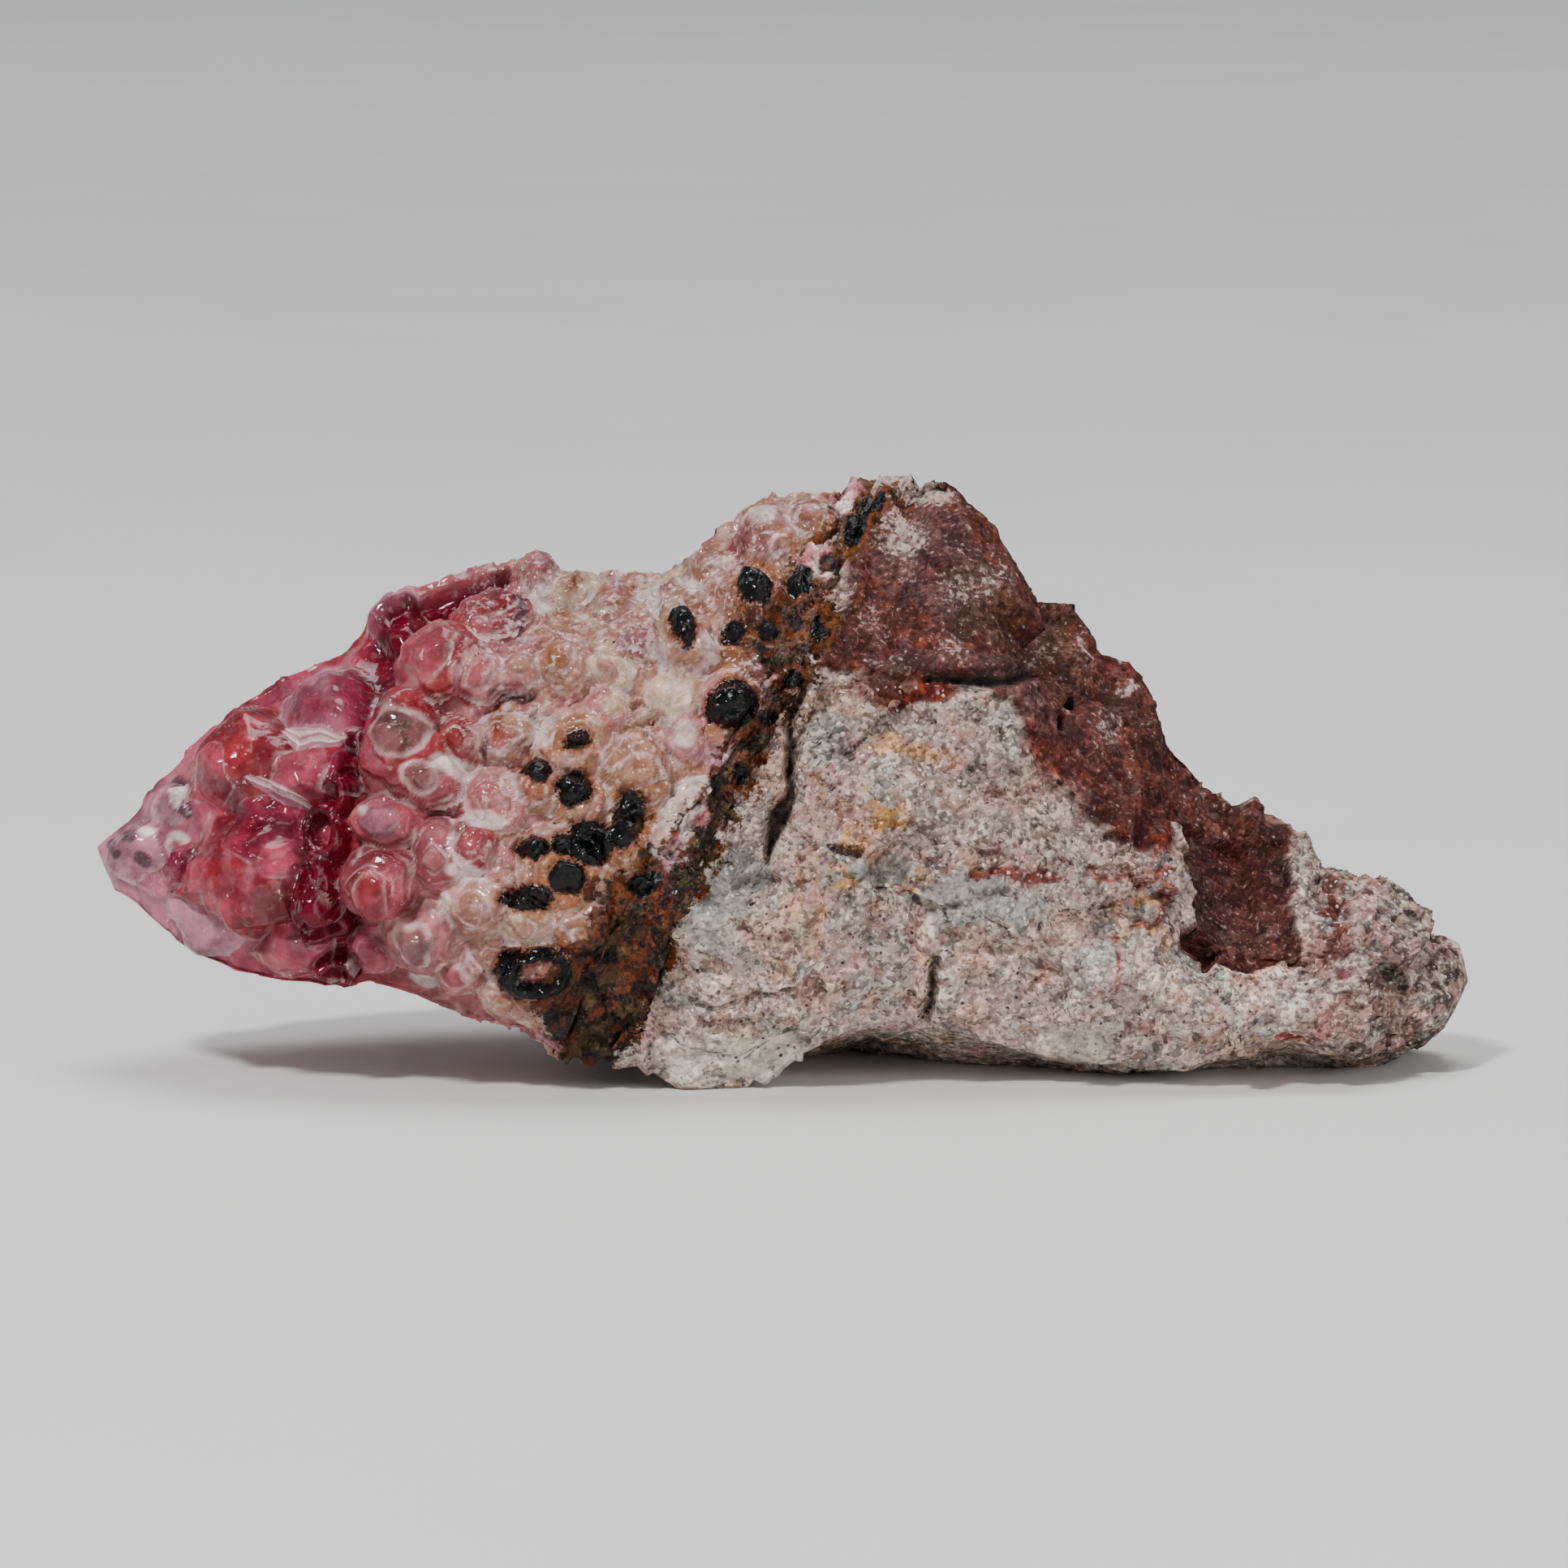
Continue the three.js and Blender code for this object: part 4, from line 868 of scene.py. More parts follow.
def cleavage(p):
    """How much of a cleavage face, with its painted highlight, lies at each point, and the distance in mm
    across that face.
    """
    flash, across = np.zeros(p.shape[:-1]), np.zeros(p.shape[:-1])
    q = warped(p, 0.8, 0.12, 461)
    for x, z, half_long, half_wide, slope in CLEAVAGE_FLASHES:
        lens = blob(q, x, z, half_long, half_wide, slope)
        over = (q[..., 2] - z) * math.cos(slope) - (q[..., 0] - x) * math.sin(slope)
        across = np.where(lens < FLASH_REACH, over, across)
        flash = np.maximum(flash, falling(lens, FLASH_REACH, 0.8))
    return flash, across


def crust_marks(p, palette):
    """The calcite's tint, and the distances in mm that its finish turns into rims, bands, nuggets and oxide."""
    which, t, second = growths(p)
    face = faceward(p)
    held = (which >= 0) * face
    radius = np.array([s[1] for s in SEATS] + [2.5])[which]
    x = p[..., 0] + 1.6 * noise(p * 0.2, 421)
    milky = rising(x, *MILKY_NODULES)
    tint = paint(crust_ground(p, x, palette), crust_bodies(p, which, t, radius, milky, palette), held * 0.9)
    tint = paint(crust_back(p, x, palette), tint, face)
    for (_, _, core_radius, _, rim_name, middle), out in core_spots(p):
        within = (1 - out) * core_radius
        tint = paint(tint, palette[middle], 0.7 * smooth(within / 0.5))
        tint = paint(tint, palette[rim_name], 0.42 * smooth(within / 0.2 + 1) * falling(within, 0.4, 0.3))
    q = warped(p, 0.7, 0.45, 451)
    soft = mix(0.45, 1.0, falling(x, -25, 4) * rising(x, -43, 2))
    for *spot, name in CALCITE_TINTS:
        tint = paint(tint, palette[name], 0.8 * falling(blob(q, *spot), SPOT_EDGE, soft))
    lump, oxide, run, fissure = nugget_distance(p), oxide_distance(p), run_distance(p), fissure_distance(p)
    halo = patches(p, 0.8, 456, 3, -0.4, 0.6) * falling(lump, HALO_REACH, 0.7) * rising(x, -20, 3) * face
    tint = paint(tint, palette["amber"], 0.75 * halo)
    warm = falling(oxide, WARM_REACH, WARM_REACH) * rising(x, -21, 4) * face
    tint = paint(tint, palette["amber"], 0.5 * warm * patches(p, 0.6, 458, 4, -0.3, 0.6))
    tint = paint(tint, palette["magenta"], 0.7 * falling(fissure, 0.9, 0.9))
    deep = np.maximum(falling(fissure, 0.1, 0.5), falling(run, 0.12, 0.25))
    tint = paint(tint, palette["crimson"], deep)
    for *ellipse, _ in CRIMSON_LOOPS:
        tint = paint(tint, palette["rose"], 0.5 * smooth(1 - blob(p, *ellipse) / 0.8))
    # Painted shade: the milky calcite is darkened towards its top, against the light from above.
    tint = lit(tint, 1 - CREST_PAINTED_SHADE * milky * rising(p[..., 2], 28, 5) * face)
    inner, outer = shell_edges(which)
    rim = np.minimum((1 - t) * radius, 0.5 * (second - t) * radius)
    edges = np.minimum(np.abs(t - inner), np.abs(t - outer)) * radius + 0.07 + (which >= len(NODULES))
    ring = np.where(held > 0.5, np.minimum(rim, edges), 2.0)
    for (_, _, core_radius, *_), out in core_spots(p):
        ring = np.where(out < 1.3, np.abs(out - 1) * core_radius + 0.08, ring)
    stained = falling(p[..., 2], 17, 5) * rising(p[..., 2], 3, 3)
    past_contact = crust_contact(p[..., 1], p[..., 2]) - p[..., 0] - 0.3 - STAIN_WIDTH * stained
    flash, across = cleavage(p)
    return {
        "tint": tint,
        "ring": np.minimum(ring, np.abs(lump - HALO_REACH) + 0.04),
        "nugget": lump,
        "oxide": np.minimum(oxide, past_contact),
        "flash": flash,
        "across": across,
        "glassy": falling(p[..., 0], *GLASSY_FINISH),
    }


# ------------------------------------ the seam's and the rock's relief and marks


def seam_relief(p):
    """Height of the oxide above its skin: a low roll with chipped, crumbly oxide on it."""
    low = SEAM_ROLL * noise(p * 0.7, 21) - SEAM_SINK
    return low + SEAM_CHIPS * chips(p * 0.9, 501) + SEAM_CRUMBS * layered(p * 1.6, 511, 3) + SEAM_RISE


def seam_marks(p, palette):
    """The seam's tint: umber with rust, and pale where calcite runs into it on the broken face."""
    tint = all_over(p, palette["umber"])
    tint = paint(tint, palette["rust"], 0.5 * patches(p, 0.8, 521, 3, -0.1, 0.4))
    tint = paint(tint, palette["olive"], 0.6 * patches(p, 0.7, 526, 3, 0.1, 0.3))
    before = rock_contact(p[..., 1], p[..., 2]) - p[..., 0] - SEAM_LINE * (1 + 0.8 * noise(p * 0.7, 531))
    oxide = oxide_distance(p)
    pale = smooth(before / 0.4) * rising(p[..., 2], 15, 4) * rising(oxide, -0.6, 0.8) * faceward(p)
    light = paint(all_over(p, palette["blush"]), palette["white"], patches(p, 0.9, 536, 3, -0.6, 1.0))
    return {
        "tint": paint(tint, light, pale),
        "nugget": nugget_distance(p),
        "oxide": np.minimum(oxide, mix(0.5, 3.0, pale)),
    }


def stirred(p):
    """Points pushed about coarsely and then finely, so that stains and outlines on the rock are ragged."""
    return warped(warped(p, 0.4, 0.8, 701), 1.4, 0.35, 711)


def weathering(p):
    """Distance in mm inside the weathered slope, which is outlined on the face and in patches on the back."""
    on_back = (layered(p * 0.12, 751, 3) + (p[..., 2] - 22) / 16) * 4
    return mix(on_back, inside(stirred(p), WEATHERED), faceward(p))


def break_grain(p):
    """The rock's broken surface in three parts: large chips, small chips and crumbs."""
    return chips(p * 0.33, 611), chips(p * 0.8, 621), layered(p * 0.9, 631, 4)


def ledge_distance(p):
    """Distance in mm outside the line under the weathered slope's ledge, which is grooved and painted with
    shadow.
    """
    return chain(warped(p, 0.5, 0.4, 651), LEDGE_LINE)


def crack_distances(p):
    """Distance in mm outside each open crack."""
    q = warped(p, 0.6, 0.4, 661)
    return [chain(q, crack) for crack in ROCK_CRACKS]


def rock_relief(p):
    """Height of the rock: lumps, ledges, a chipped break, bell-shaped hollows, open cracks and round holes."""
    face = faceward(p)
    ledges = ROCK_LEDGES * chips(p * 0.11, 41)
    height = ROCK_LUMPS * noise(p * 0.13, 31) + ledges
    for x, y, z, wide, high, depth in HOLLOWS:
        a, b, c = (p[..., 0] - x) / wide, (p[..., 2] - z) / high, (p[..., 1] - y) / HOLLOW_REACH
        height = height - depth * np.exp(-a * a - b * b - c * c)
    slope = weathering(p)
    worn = smooth(slope / 0.8)
    foot = smooth((p[..., 2] - straight(BOTTOM_EDGE, p[..., 0])) / 3)
    height -= 0.6 * ledges * (1 - foot) * face
    large, small, crumbs = break_grain(p)
    fine = LARGE_CHIPS * large * (1 - 0.7 * worn) + SMALL_CHIPS * small * (1 - 0.8 * worn)
    fine += CRUMBS * crumbs * (1 - 0.3 * worn) + DUST * noise(p * 2.6, 641)
    height += fine * mix(0.3, 1, foot)
    cliff = rising(p[..., 0], *SCOOP)
    height -= SCOOP_DEPTH * worn * cliff * face
    height += LIP_HEIGHT * worn * (1 - cliff) * falling(slope, 2.2, 1.5) * face
    height -= LEDGE_DEPTH * falling(ledge_distance(p), 0.5, 0.6)
    for crack in crack_distances(p):
        height -= CRACK_DEPTH * falling(crack, 0.35, 0.5)
    for x, z, radius in ROUND_HOLES:
        height -= HOLE_DEPTH * falling(blob(p, x, z, radius, radius), SPOT_EDGE, 0.5)
    return height


def break_tint(p, tail, palette):
    """Colour of the broken rock: sand with clouds of other shades, darkened by painted shade in its dents, and
    speckled at the tail.
    """
    tint = all_over(p, palette["sand"])
    for name, strength, *cloud in ROCK_CLOUDS:
        tint = paint(tint, palette[name], strength * patches(p, *cloud))
    large, small, crumbs = break_grain(p)
    # Painted shade in the dents of the chipped break.
    tint = lit(tint, 1 - 0.5 * rising(-(0.7 * large + 0.35 * small + 0.28 * crumbs), 0.15, 0.6))
    tint = paint(tint, palette["plum"], patches(p, 1.3, 796, 4, 0.05, 0.25) * mix(0.2, 0.85, tail))
    return lit(lit(tint, 1 - 0.14 * tail), 1 + 0.5 * tail * layered(p * 1.7, 801, 2))


def slope_tint(p, palette):
    """Colour of the weathered slope: brown with brick, plum and dun clouds, and darkest in the scoop, where
    shade is painted.
    """
    x, z = p[..., 0], p[..., 2]
    brown = paint(all_over(p, palette["brown"]), palette["brick"], 0.3 * patches(p, 0.35, 761, 3, -0.1, 1.0))
    brown = paint(brown, palette["plum"], 0.6 * patches(p, 0.28, 766, 4, -0.15, 0.4) * falling(x, 21, 6))
    dun = patches(p, 0.2, 768, 3, -0.15, 0.4) * rising(x, 10, 4) * rising(z, 22, 6)
    brown = lit(paint(brown, palette["dun"], 0.6 * dun), 1 + 0.45 * layered(p * 1.6, 803, 3))
    brown = paint(brown, palette["shadow"], 0.65 * patches(warped(p, 0.3, 0.8, 776), 0.45, 771, 4, -0.1, 0.5))
    # Painted shade in the hollow of the scoop.
    scoop = rising(x, *SCOOP) * falling(x, 39, 3) * falling(z, 20, 6)
    return paint(brown, palette["shadow"], 0.6 * scoop)


def rock_marks(p, palette):
    """The rock's tint, grey and sandy with stains, veins, a brown slope and painted light low on the break, and
    the masks of its finish, painted shade among them.
    """
    q = stirred(p)
    x, z = p[..., 0], p[..., 2]
    tail = rising(x, *SPECKLED_TAIL)
    worn = rising(weathering(p), -0.15, 0.5)
    tint = paint(break_tint(p, tail, palette), slope_tint(p, palette), worn)
    patchy = patches(p, 1.1, 781, 4, -0.35, 0.5)
    even = np.zeros(worn.shape)
    chalk = mix(0.55 * patches(p, 0.35, 786, 3, -0.1, 0.4), 0.16 * patches(p, 0.4, 791, 3, 0.0, 0.3), worn)
    for *spot, name, strength in ROCK_STAINS:
        whole = name in ("quartz", "slate") and strength > WHOLE_ABOVE
        loose = worn * (name == "chalk")
        softness = 0.3 if whole else 0.6 + 0.4 * loose
        mask = min(strength, 1) * falling(blob(q, *spot), SPOT_EDGE + 0.06 * loose, softness)
        if name == "chalk":
            chalk = np.maximum(chalk, mask)
        elif whole:
            even = np.maximum(even, mask)
            tint = paint(tint, palette[name], mask)
        else:
            tint = paint(tint, palette[name], (1 if strength > 1 else patchy) * mask)
            chalk = chalk * (1 - 0.8 * mask)
    chalk = np.maximum(chalk, rising(z, PALE_CREST[0], 1) * falling(x, PALE_CREST[1], 2))
    for vein in ROCK_VEINS:
        tint = paint(tint, palette["brick"], 0.85 * falling(chain(q, vein), 0.25, 0.3))
    # Painted shade: a mask for the shadow under the ledge and in the open cracks and round holes.
    dark = falling(ledge_distance(p), 0.2, 0.4)
    for crack in crack_distances(p):
        dark = np.maximum(dark, falling(crack, 0.1, 0.3))
    for hole_x, hole_z, radius in ROUND_HOLES:
        dark = np.maximum(dark, falling(blob(p, hole_x, hole_z, radius, radius), 1.05, 0.2))
    return {
        # Painted light: the fresh break is lightened low on the broken face, against the shade that falls
        # there.
        "tint": lit(tint, mix(1, FOOT_PAINTED_LIGHT, falling(z, 16, 8) * (1 - tail) * faceward(p))),
        "worn": worn,
        "chalk": chalk,
        "dark": dark,
        "calm": np.maximum(0.35 * worn, 0.55 * even),
        "nugget": nugget_distance(p),
        "oxide": oxide_distance(p),
    }


# ------------------------------------ contacts and closed skins


def seam_thickness(z):
    """Thickness of the seam, which swells in a bell shape near the foot."""
    return SEAM_THICKNESS + SEAM_SWELL * np.exp(-(((z - SEAM_SWELL_Z) / SEAM_SWELL_Z) ** 2))


def wobble(y, z):
    """How far a contact wanders from its even sheet."""
    p = np.stack([y, z, np.zeros_like(y)], -1)
    return sum(size * noise(p * scale, seed) for size, scale, seed in CONTACT_WAVES)


def contact_sheet(y, z):
    """x of the even, tilted sheet that the contacts follow."""
    return CONTACT_X + CONTACT_LEAN * z + CONTACT_TURN * y


def rock_contact(y, z):
    """x of the contact between the seam and the rock."""
    return contact_sheet(y, z) - LAYER_GAP / 2 + wobble(y, z)


def crust_contact(y, z):
    """x of the contact between the calcite and the seam."""
    return contact_sheet(y, z) - seam_thickness(z) + LAYER_GAP / 2 + wobble(y, z + 40)


def within_solids(points):
    """Points moved inside the solids' box."""
    low, high = (np.array(corner) / MM for corner in CAD_BOX)
    return np.clip(points, low, high)


def pushed(relief, x, about):
    """The undisturbed skin, and the finished one, which is moved out by its relief and kept in the solids' box.

    The relief fades to nothing towards the two ends.
    """
    points = skin(x, about)
    fade = smooth(np.minimum(x - TIP_X, TAIL_X - x) / TIP_FADE)
    moved = points + outward(x, about) * (fade * relief(points))[..., None]
    return points, within_solids(moved)


def rim_x(relief, contact, shift, about):
    """x at which a finished skin runs into a contact, found by stepping towards it."""
    x = contact(np.zeros_like(about), np.full_like(about, RIM_START_Z)) + shift
    for _ in range(RIM_STEPS):
        _, points = pushed(relief, x, about)
        x = x + RIM_STRIDE * (contact(points[:, 1], points[:, 2]) + shift - points[:, 0])
    return x


def columns():
    """Shares of the way round, closer together over the broken face than over the back."""
    return np.interp(np.arange(COLUMNS) / COLUMNS, (0, FACE_SHARE, 1), (0, FACE_END, 1))


def cap(contact, shift, rim):
    """Rows over a contact, from just inside its rim to its middle."""
    shares = np.arange(1, CAP_ROWS + 1)[:, None] / CAP_ROWS
    y = mix(rim[None, :, 1], CONTACT_MIDDLE[0], shares)
    z = mix(rim[None, :, 2], CONTACT_MIDDLE[1], shares)
    return np.stack([contact(y, z) + shift, y, z], -1)


def closed_skin(relief, rows, start=None, end=None):
    """Undisturbed and finished points of one layer, as rows along X that begin and end in a single point."""
    about = columns()
    first = rim_x(relief, start, -CONTACT_OVERLAP, about) if start else np.full(COLUMNS, TIP_X)
    last = rim_x(relief, end, CONTACT_OVERLAP, about) if end else np.full(COLUMNS, TAIL_X)
    share = np.linspace(0, 1, rows)[:, None]
    plain, made = pushed(relief, mix(first, last, share), np.broadcast_to(about, (rows, COLUMNS)))
    if start:
        lid = cap(start, -CONTACT_OVERLAP, made[0])[::-1]
        plain, made = np.concatenate([np.repeat(plain[:1], CAP_ROWS, 0), plain]), np.concatenate([lid, made])
    if end:
        lid = cap(end, CONTACT_OVERLAP, made[-1])
        plain, made = np.concatenate([plain, np.repeat(plain[-1:], CAP_ROWS, 0)]), np.concatenate([made, lid])
    return plain, made


def ring_columns():
    """Each column's number and the next one's, round the ring."""
    ring = np.arange(COLUMNS)
    return ring, (ring + 1) % COLUMNS


def row_quads(rings):
    """Corners of the quads between rings of points that follow one single point."""
    ring, following = ring_columns()
    base = 1 + COLUMNS * np.arange(rings - 1)[:, None]
    quads = np.stack([base + ring, base + COLUMNS + ring, base + COLUMNS + following, base + following], -1)
    return quads.reshape(-1, 4)


def flatten(grid):
    """A grid's values as one list, with its first and last rows as one point each."""
    tail = grid.shape[2:]
    return np.concatenate([grid[:1, 0], grid[1:-1].reshape((-1,) + tail), grid[-1:, 0]])


def skin_faces(rows):
    """Corners of a closed skin's faces: quads between its rows, and a fan of triangles round each end point."""
    ring, following = ring_columns()
    rings = rows - 2
    last = 1 + COLUMNS * (rings - 1)
    fan_a = np.stack([np.zeros(COLUMNS, int), 1 + ring, 1 + following], -1)
    fan_b = np.stack([np.full(COLUMNS, last + COLUMNS), last + following, last + ring], -1)
    return row_quads(rings), np.concatenate([fan_a, fan_b])


def mesh_from_arrays(name, points, quads, triangles, marks):
    """A mesh of quads and triangles, in metres, with each mark as a vertex attribute."""
    loops = np.concatenate([quads.ravel(), triangles.ravel()])
    sizes = np.concatenate([np.full(len(quads), 4), np.full(len(triangles), 3)])
    starts = np.concatenate([[0], np.cumsum(sizes)[:-1]])
    mesh = bpy.data.meshes.new(name)
    mesh.vertices.add(len(points))
    mesh.vertices.foreach_set("co", (points * MM).astype(np.float32).ravel())
    mesh.loops.add(len(loops))
    mesh.loops.foreach_set("vertex_index", loops.astype(np.int32))
    mesh.polygons.add(len(sizes))
    mesh.polygons.foreach_set("loop_start", starts.astype(np.int32))
    mesh.polygons.foreach_set("loop_total", sizes.astype(np.int32))
    mesh.update(calc_edges=True)
    mesh.validate()
    for mark, values in marks.items():
        kind, field = ("FLOAT_COLOR", "color") if values.ndim == 2 else ("FLOAT", "value")
        if values.ndim == 2:
            values = np.concatenate([values, np.ones((len(values), 1))], 1)
        attribute = mesh.attributes.new(mark, kind, "POINT")
        attribute.data.foreach_set(field, values.astype(np.float32).ravel())
    return mesh


def volume(points, quads):
    """Six times the signed volume within the quads, which is negative where the faces point inwards."""
    a, b, c, d = (points[quads[:, n]] for n in range(4))
    return (np.cross(a, b) * c).sum() + (np.cross(a, c) * d).sum()


def build_skin(name, relief, marks_of, rows, start=None, end=None):
    """One layer's finished skin as a smooth-shaded object."""
    plain, made = closed_skin(relief, rows, start, end)
    marks = {mark: flatten(values) for mark, values in marks_of(plain).items()}
    points = flatten(made)
    quads, triangles = skin_faces(len(made))
    if volume(points, quads) < 0:
        quads, triangles = quads[:, ::-1], triangles[:, ::-1]
    mesh = mesh_from_arrays(name, points, quads, triangles, marks)
    mesh.shade_smooth()
    return add_object(name, mesh)


def add_object(name, data):
    """An object for a mesh, a light or a camera, at the origin."""
    made = bpy.data.objects.new(name, data)
    bpy.context.scene.collection.objects.link(made)
    return made


# ------------------------------------ drusy crystals


def rhombohedron():
    """Points and faces of a bevelled cube of radius 1, stood on its corner and pressed along that diagonal."""
    shape = bmesh.new()
    bmesh.ops.create_cube(shape, size=2 / math.sqrt(3))
    bmesh.ops.bevel(shape, geom=shape.edges[:], offset=CRYSTAL_BEVEL, segments=1, affect="EDGES", profile=0.5)
    upright = Vector((1, 1, 1)).normalized().rotation_difference(Vector((0, 0, 1))).to_matrix()
    points = np.array([upright @ v.co for v in shape.verts])
    faces = [[v.index for v in face.verts] for face in shape.faces]
    shape.free()
    points[:, 2] *= RHOMB_HEIGHT
    return points, [f for f in faces if len(f) == 4], [f for f in faces if len(f) == 3]


def turned_to(direction):
    """For each direction, the matrix that turns +Z onto it by the shortest way."""
    up = np.array([0.0, 0.0, 1.0])
    axis = np.cross(np.broadcast_to(up, direction.shape), direction)
    matrix = np.zeros((len(direction), 3, 3))
    matrix[:, 0, 1], matrix[:, 0, 2], matrix[:, 1, 2] = -axis[:, 2], axis[:, 1], -axis[:, 0]
    matrix[:, 1, 0], matrix[:, 2, 0], matrix[:, 2, 1] = axis[:, 2], -axis[:, 1], axis[:, 0]
    cosine = direction @ up
    return np.eye(3) + matrix + matrix @ matrix / (1 + cosine)[:, None, None]


def scatter(count, across, around, radii, seed):
    """Centres, directions, radii and turns of crystals spread evenly over a stretch of the skin."""
    n = np.arange(count)
    x = mix(*across, (n * SCATTER_X) % 1)
    about = mix(*around, (n * SCATTER_ROUND) % 1)
    radius = mix(*radii, hashed(n, 1, 0, seed)) * mix(TIP_CRYSTALS, 1, rising(x, TIP_X, 16))
    lean = np.stack([hashed(n, k, 0, seed) - 0.5 for k in (2, 3, 4)], -1)
    normal = outward(x, about)
    direction = normal + CRYSTAL_LEAN * lean
    direction /= np.linalg.norm(direction, axis=1, keepdims=True)
    centre = skin(x, about) - normal * (CRUST_GROUND + RHOMB_SINK * radius)[:, None]
    kept = (centre[:, 0] + radius <= crust_contact(centre[:, 1], centre[:, 2])) & (centre[:, 2] >= radius)
    return centre[kept], direction[kept], radius[kept], hashed(n, 5, 0, seed)[kept] * CRYSTAL_TURN


def crystal_mesh(name, centre, direction, radius, turn, tint):
    """Rhombohedra joined in one mesh, each turned, sized and placed by its own row of the arrays."""
    base, quads, triangles = rhombohedron()
    cosine, sine, zero = np.cos(turn), np.sin(turn), np.zeros(len(turn))
    spin = np.array([(cosine, -sine, zero), (sine, cosine, zero), (zero, zero, zero + 1)]).transpose(2, 0, 1)
    turned = np.einsum("nij,njk,vk->nvi", turned_to(direction), spin, base)
    points = within_solids((turned * radius[:, None, None] + centre[:, None, :]).reshape(-1, 3))
    first = (np.arange(len(radius)) * len(base))[:, None, None]
    quads, triangles = (np.array(quads) + first).reshape(-1, 4), (np.array(triangles) + first).reshape(-1, 3)
    return mesh_from_arrays(name, points, quads, triangles, {"tint": np.repeat(tint, len(base), axis=0)})


# ------------------------------------ material nodes


class Wire:
    """A value that flows through a material. Sums, products and steps of it become nodes of its tree."""

    def __init__(self, socket):
        self.socket, self.tree = socket, socket.id_data

    def math(self, operation, a, b):
        """The result of a Math node."""
        return Wire(put(self.tree, "ShaderNodeMath", {0: a, 1: b}, operation=operation).outputs[0])

    def __add__(self, other):
        return self.math("ADD", self, other)

    def __sub__(self, other):
        return self.math("SUBTRACT", self, other)

    def __rsub__(self, other):
        return self.math("SUBTRACT", other, self)

    def __mul__(self, other):
        return self.math("MULTIPLY", self, other)

    def __rtruediv__(self, other):
        return self.math("DIVIDE", other, self)

    def clamped(self):
        """The same result, held between 0 and 1."""
        self.socket.node.use_clamp = True
        return self

    def step(self, low, high, start=0.0, stop=1.0):
        """A smooth step, from start at low to stop at high."""
        limits = {"Value": self, "From Min": low, "From Max": high, "To Min": start, "To Max": stop}
        made = put(self.tree, "ShaderNodeMapRange", limits, interpolation_type="SMOOTHSTEP")
        return Wire(made.outputs["Result"])


def feed(socket, value):
    """Links an input to a wire or sets it to a value. A colour is given without its alpha."""
    if isinstance(value, Wire):
        socket.id_data.links.new(value.socket, socket)
    else:
        socket.default_value = (*value, 1) if socket.type == "RGBA" else value


def fill(sockets, **values):
    """Feeds inputs by name, with underscores for the spaces in the names."""
    for name, value in values.items():
        feed(sockets[name.replace("_", " ")], value)


def wires(sockets):
    """Outputs by name, as wires."""
    return {socket.name: Wire(socket) for socket in sockets if socket.name}


def put(tree, kind, inputs=None, **settings):
    """A new node with its settings, and with inputs fed by name or number."""
    made = tree.nodes.new(kind)
    for key, value in settings.items():
        setattr(made, key, value)
    for key, value in (inputs or {}).items():
        feed(made.inputs[key], value)
    return made


def blend(share, a, b, kind="MIX"):
    """Colour a laid over by colour b by a share."""
    tree = next(value.tree for value in (share, a, b) if isinstance(value, Wire))
    made = put(tree, "ShaderNodeMix", {0: share, 6: a, 7: b}, data_type="RGBA", blend_type=kind)
    return Wire(made.outputs[2])


def shaded(colour, value):
    """A colour multiplied by a value, which may pass 1."""
    grey = put(value.tree, "ShaderNodeCombineColor", {0: value, 1: value, 2: value}).outputs[0]
    return blend(1.0, colour, Wire(grey), "MULTIPLY")


def clouds(place, scale, detail, roughness=0.5):
    """Layered noise, as its Fac and Color."""
    inputs = {"Vector": place, "Scale": scale, "Detail": detail, "Roughness": roughness}
    return wires(put(place.tree, "ShaderNodeTexNoise", inputs).outputs)


def cloud(place, scale, detail, roughness=0.5):
    """Layered noise as one value, which lies mostly from 0.3 to 0.7."""
    return clouds(place, scale, detail, roughness)["Fac"]


def cells(place, size):
    """Random cells of a size, as their Distance, Color and Position."""
    inputs = {"Vector": place, "Scale": 1.0 / size, "Randomness": 1.0}
    return wires(put(place.tree, "ShaderNodeTexVoronoi", inputs).outputs)


def vectors(operation, a, b, output="Vector"):
    """The result of a Vector Math node."""
    return Wire(put(a.tree, "ShaderNodeVectorMath", {0: a, 1: b}, operation=operation).outputs[output])


def channels(colour):
    """The red, green and blue of a colour."""
    return [Wire(socket) for socket in put(colour.tree, "ShaderNodeSeparateColor", {"Color": colour}).outputs]


def bump(height, strength, depth=MM):
    """The surface's normal, tilted by a height."""
    inputs = {"Height": height, "Strength": strength, "Distance": depth}
    return Wire(put(height.tree, "ShaderNodeBump", inputs).outputs[0])


def mark(place, name, output="Fac"):
    """A vertex attribute of the piece."""
    node = put(place.tree, "ShaderNodeAttribute", attribute_name=name, attribute_type="GEOMETRY")
    return Wire(node.outputs[output])


def group(name, inputs, outputs):
    """An empty shader node group, with its inputs as wires by name and its outputs."""
    made = bpy.data.node_groups.new(name, "ShaderNodeTree")
    for label, kind, default in inputs:
        socket = made.interface.new_socket(label, in_out="INPUT", socket_type="NodeSocket" + kind)
        if default is not None:
            socket.default_value = default
    for label, kind in outputs:
        made.interface.new_socket(label, in_out="OUTPUT", socket_type="NodeSocket" + kind)
    given = wires(made.nodes.new("NodeGroupInput").outputs)
    return made, given, made.nodes.new("NodeGroupOutput").inputs


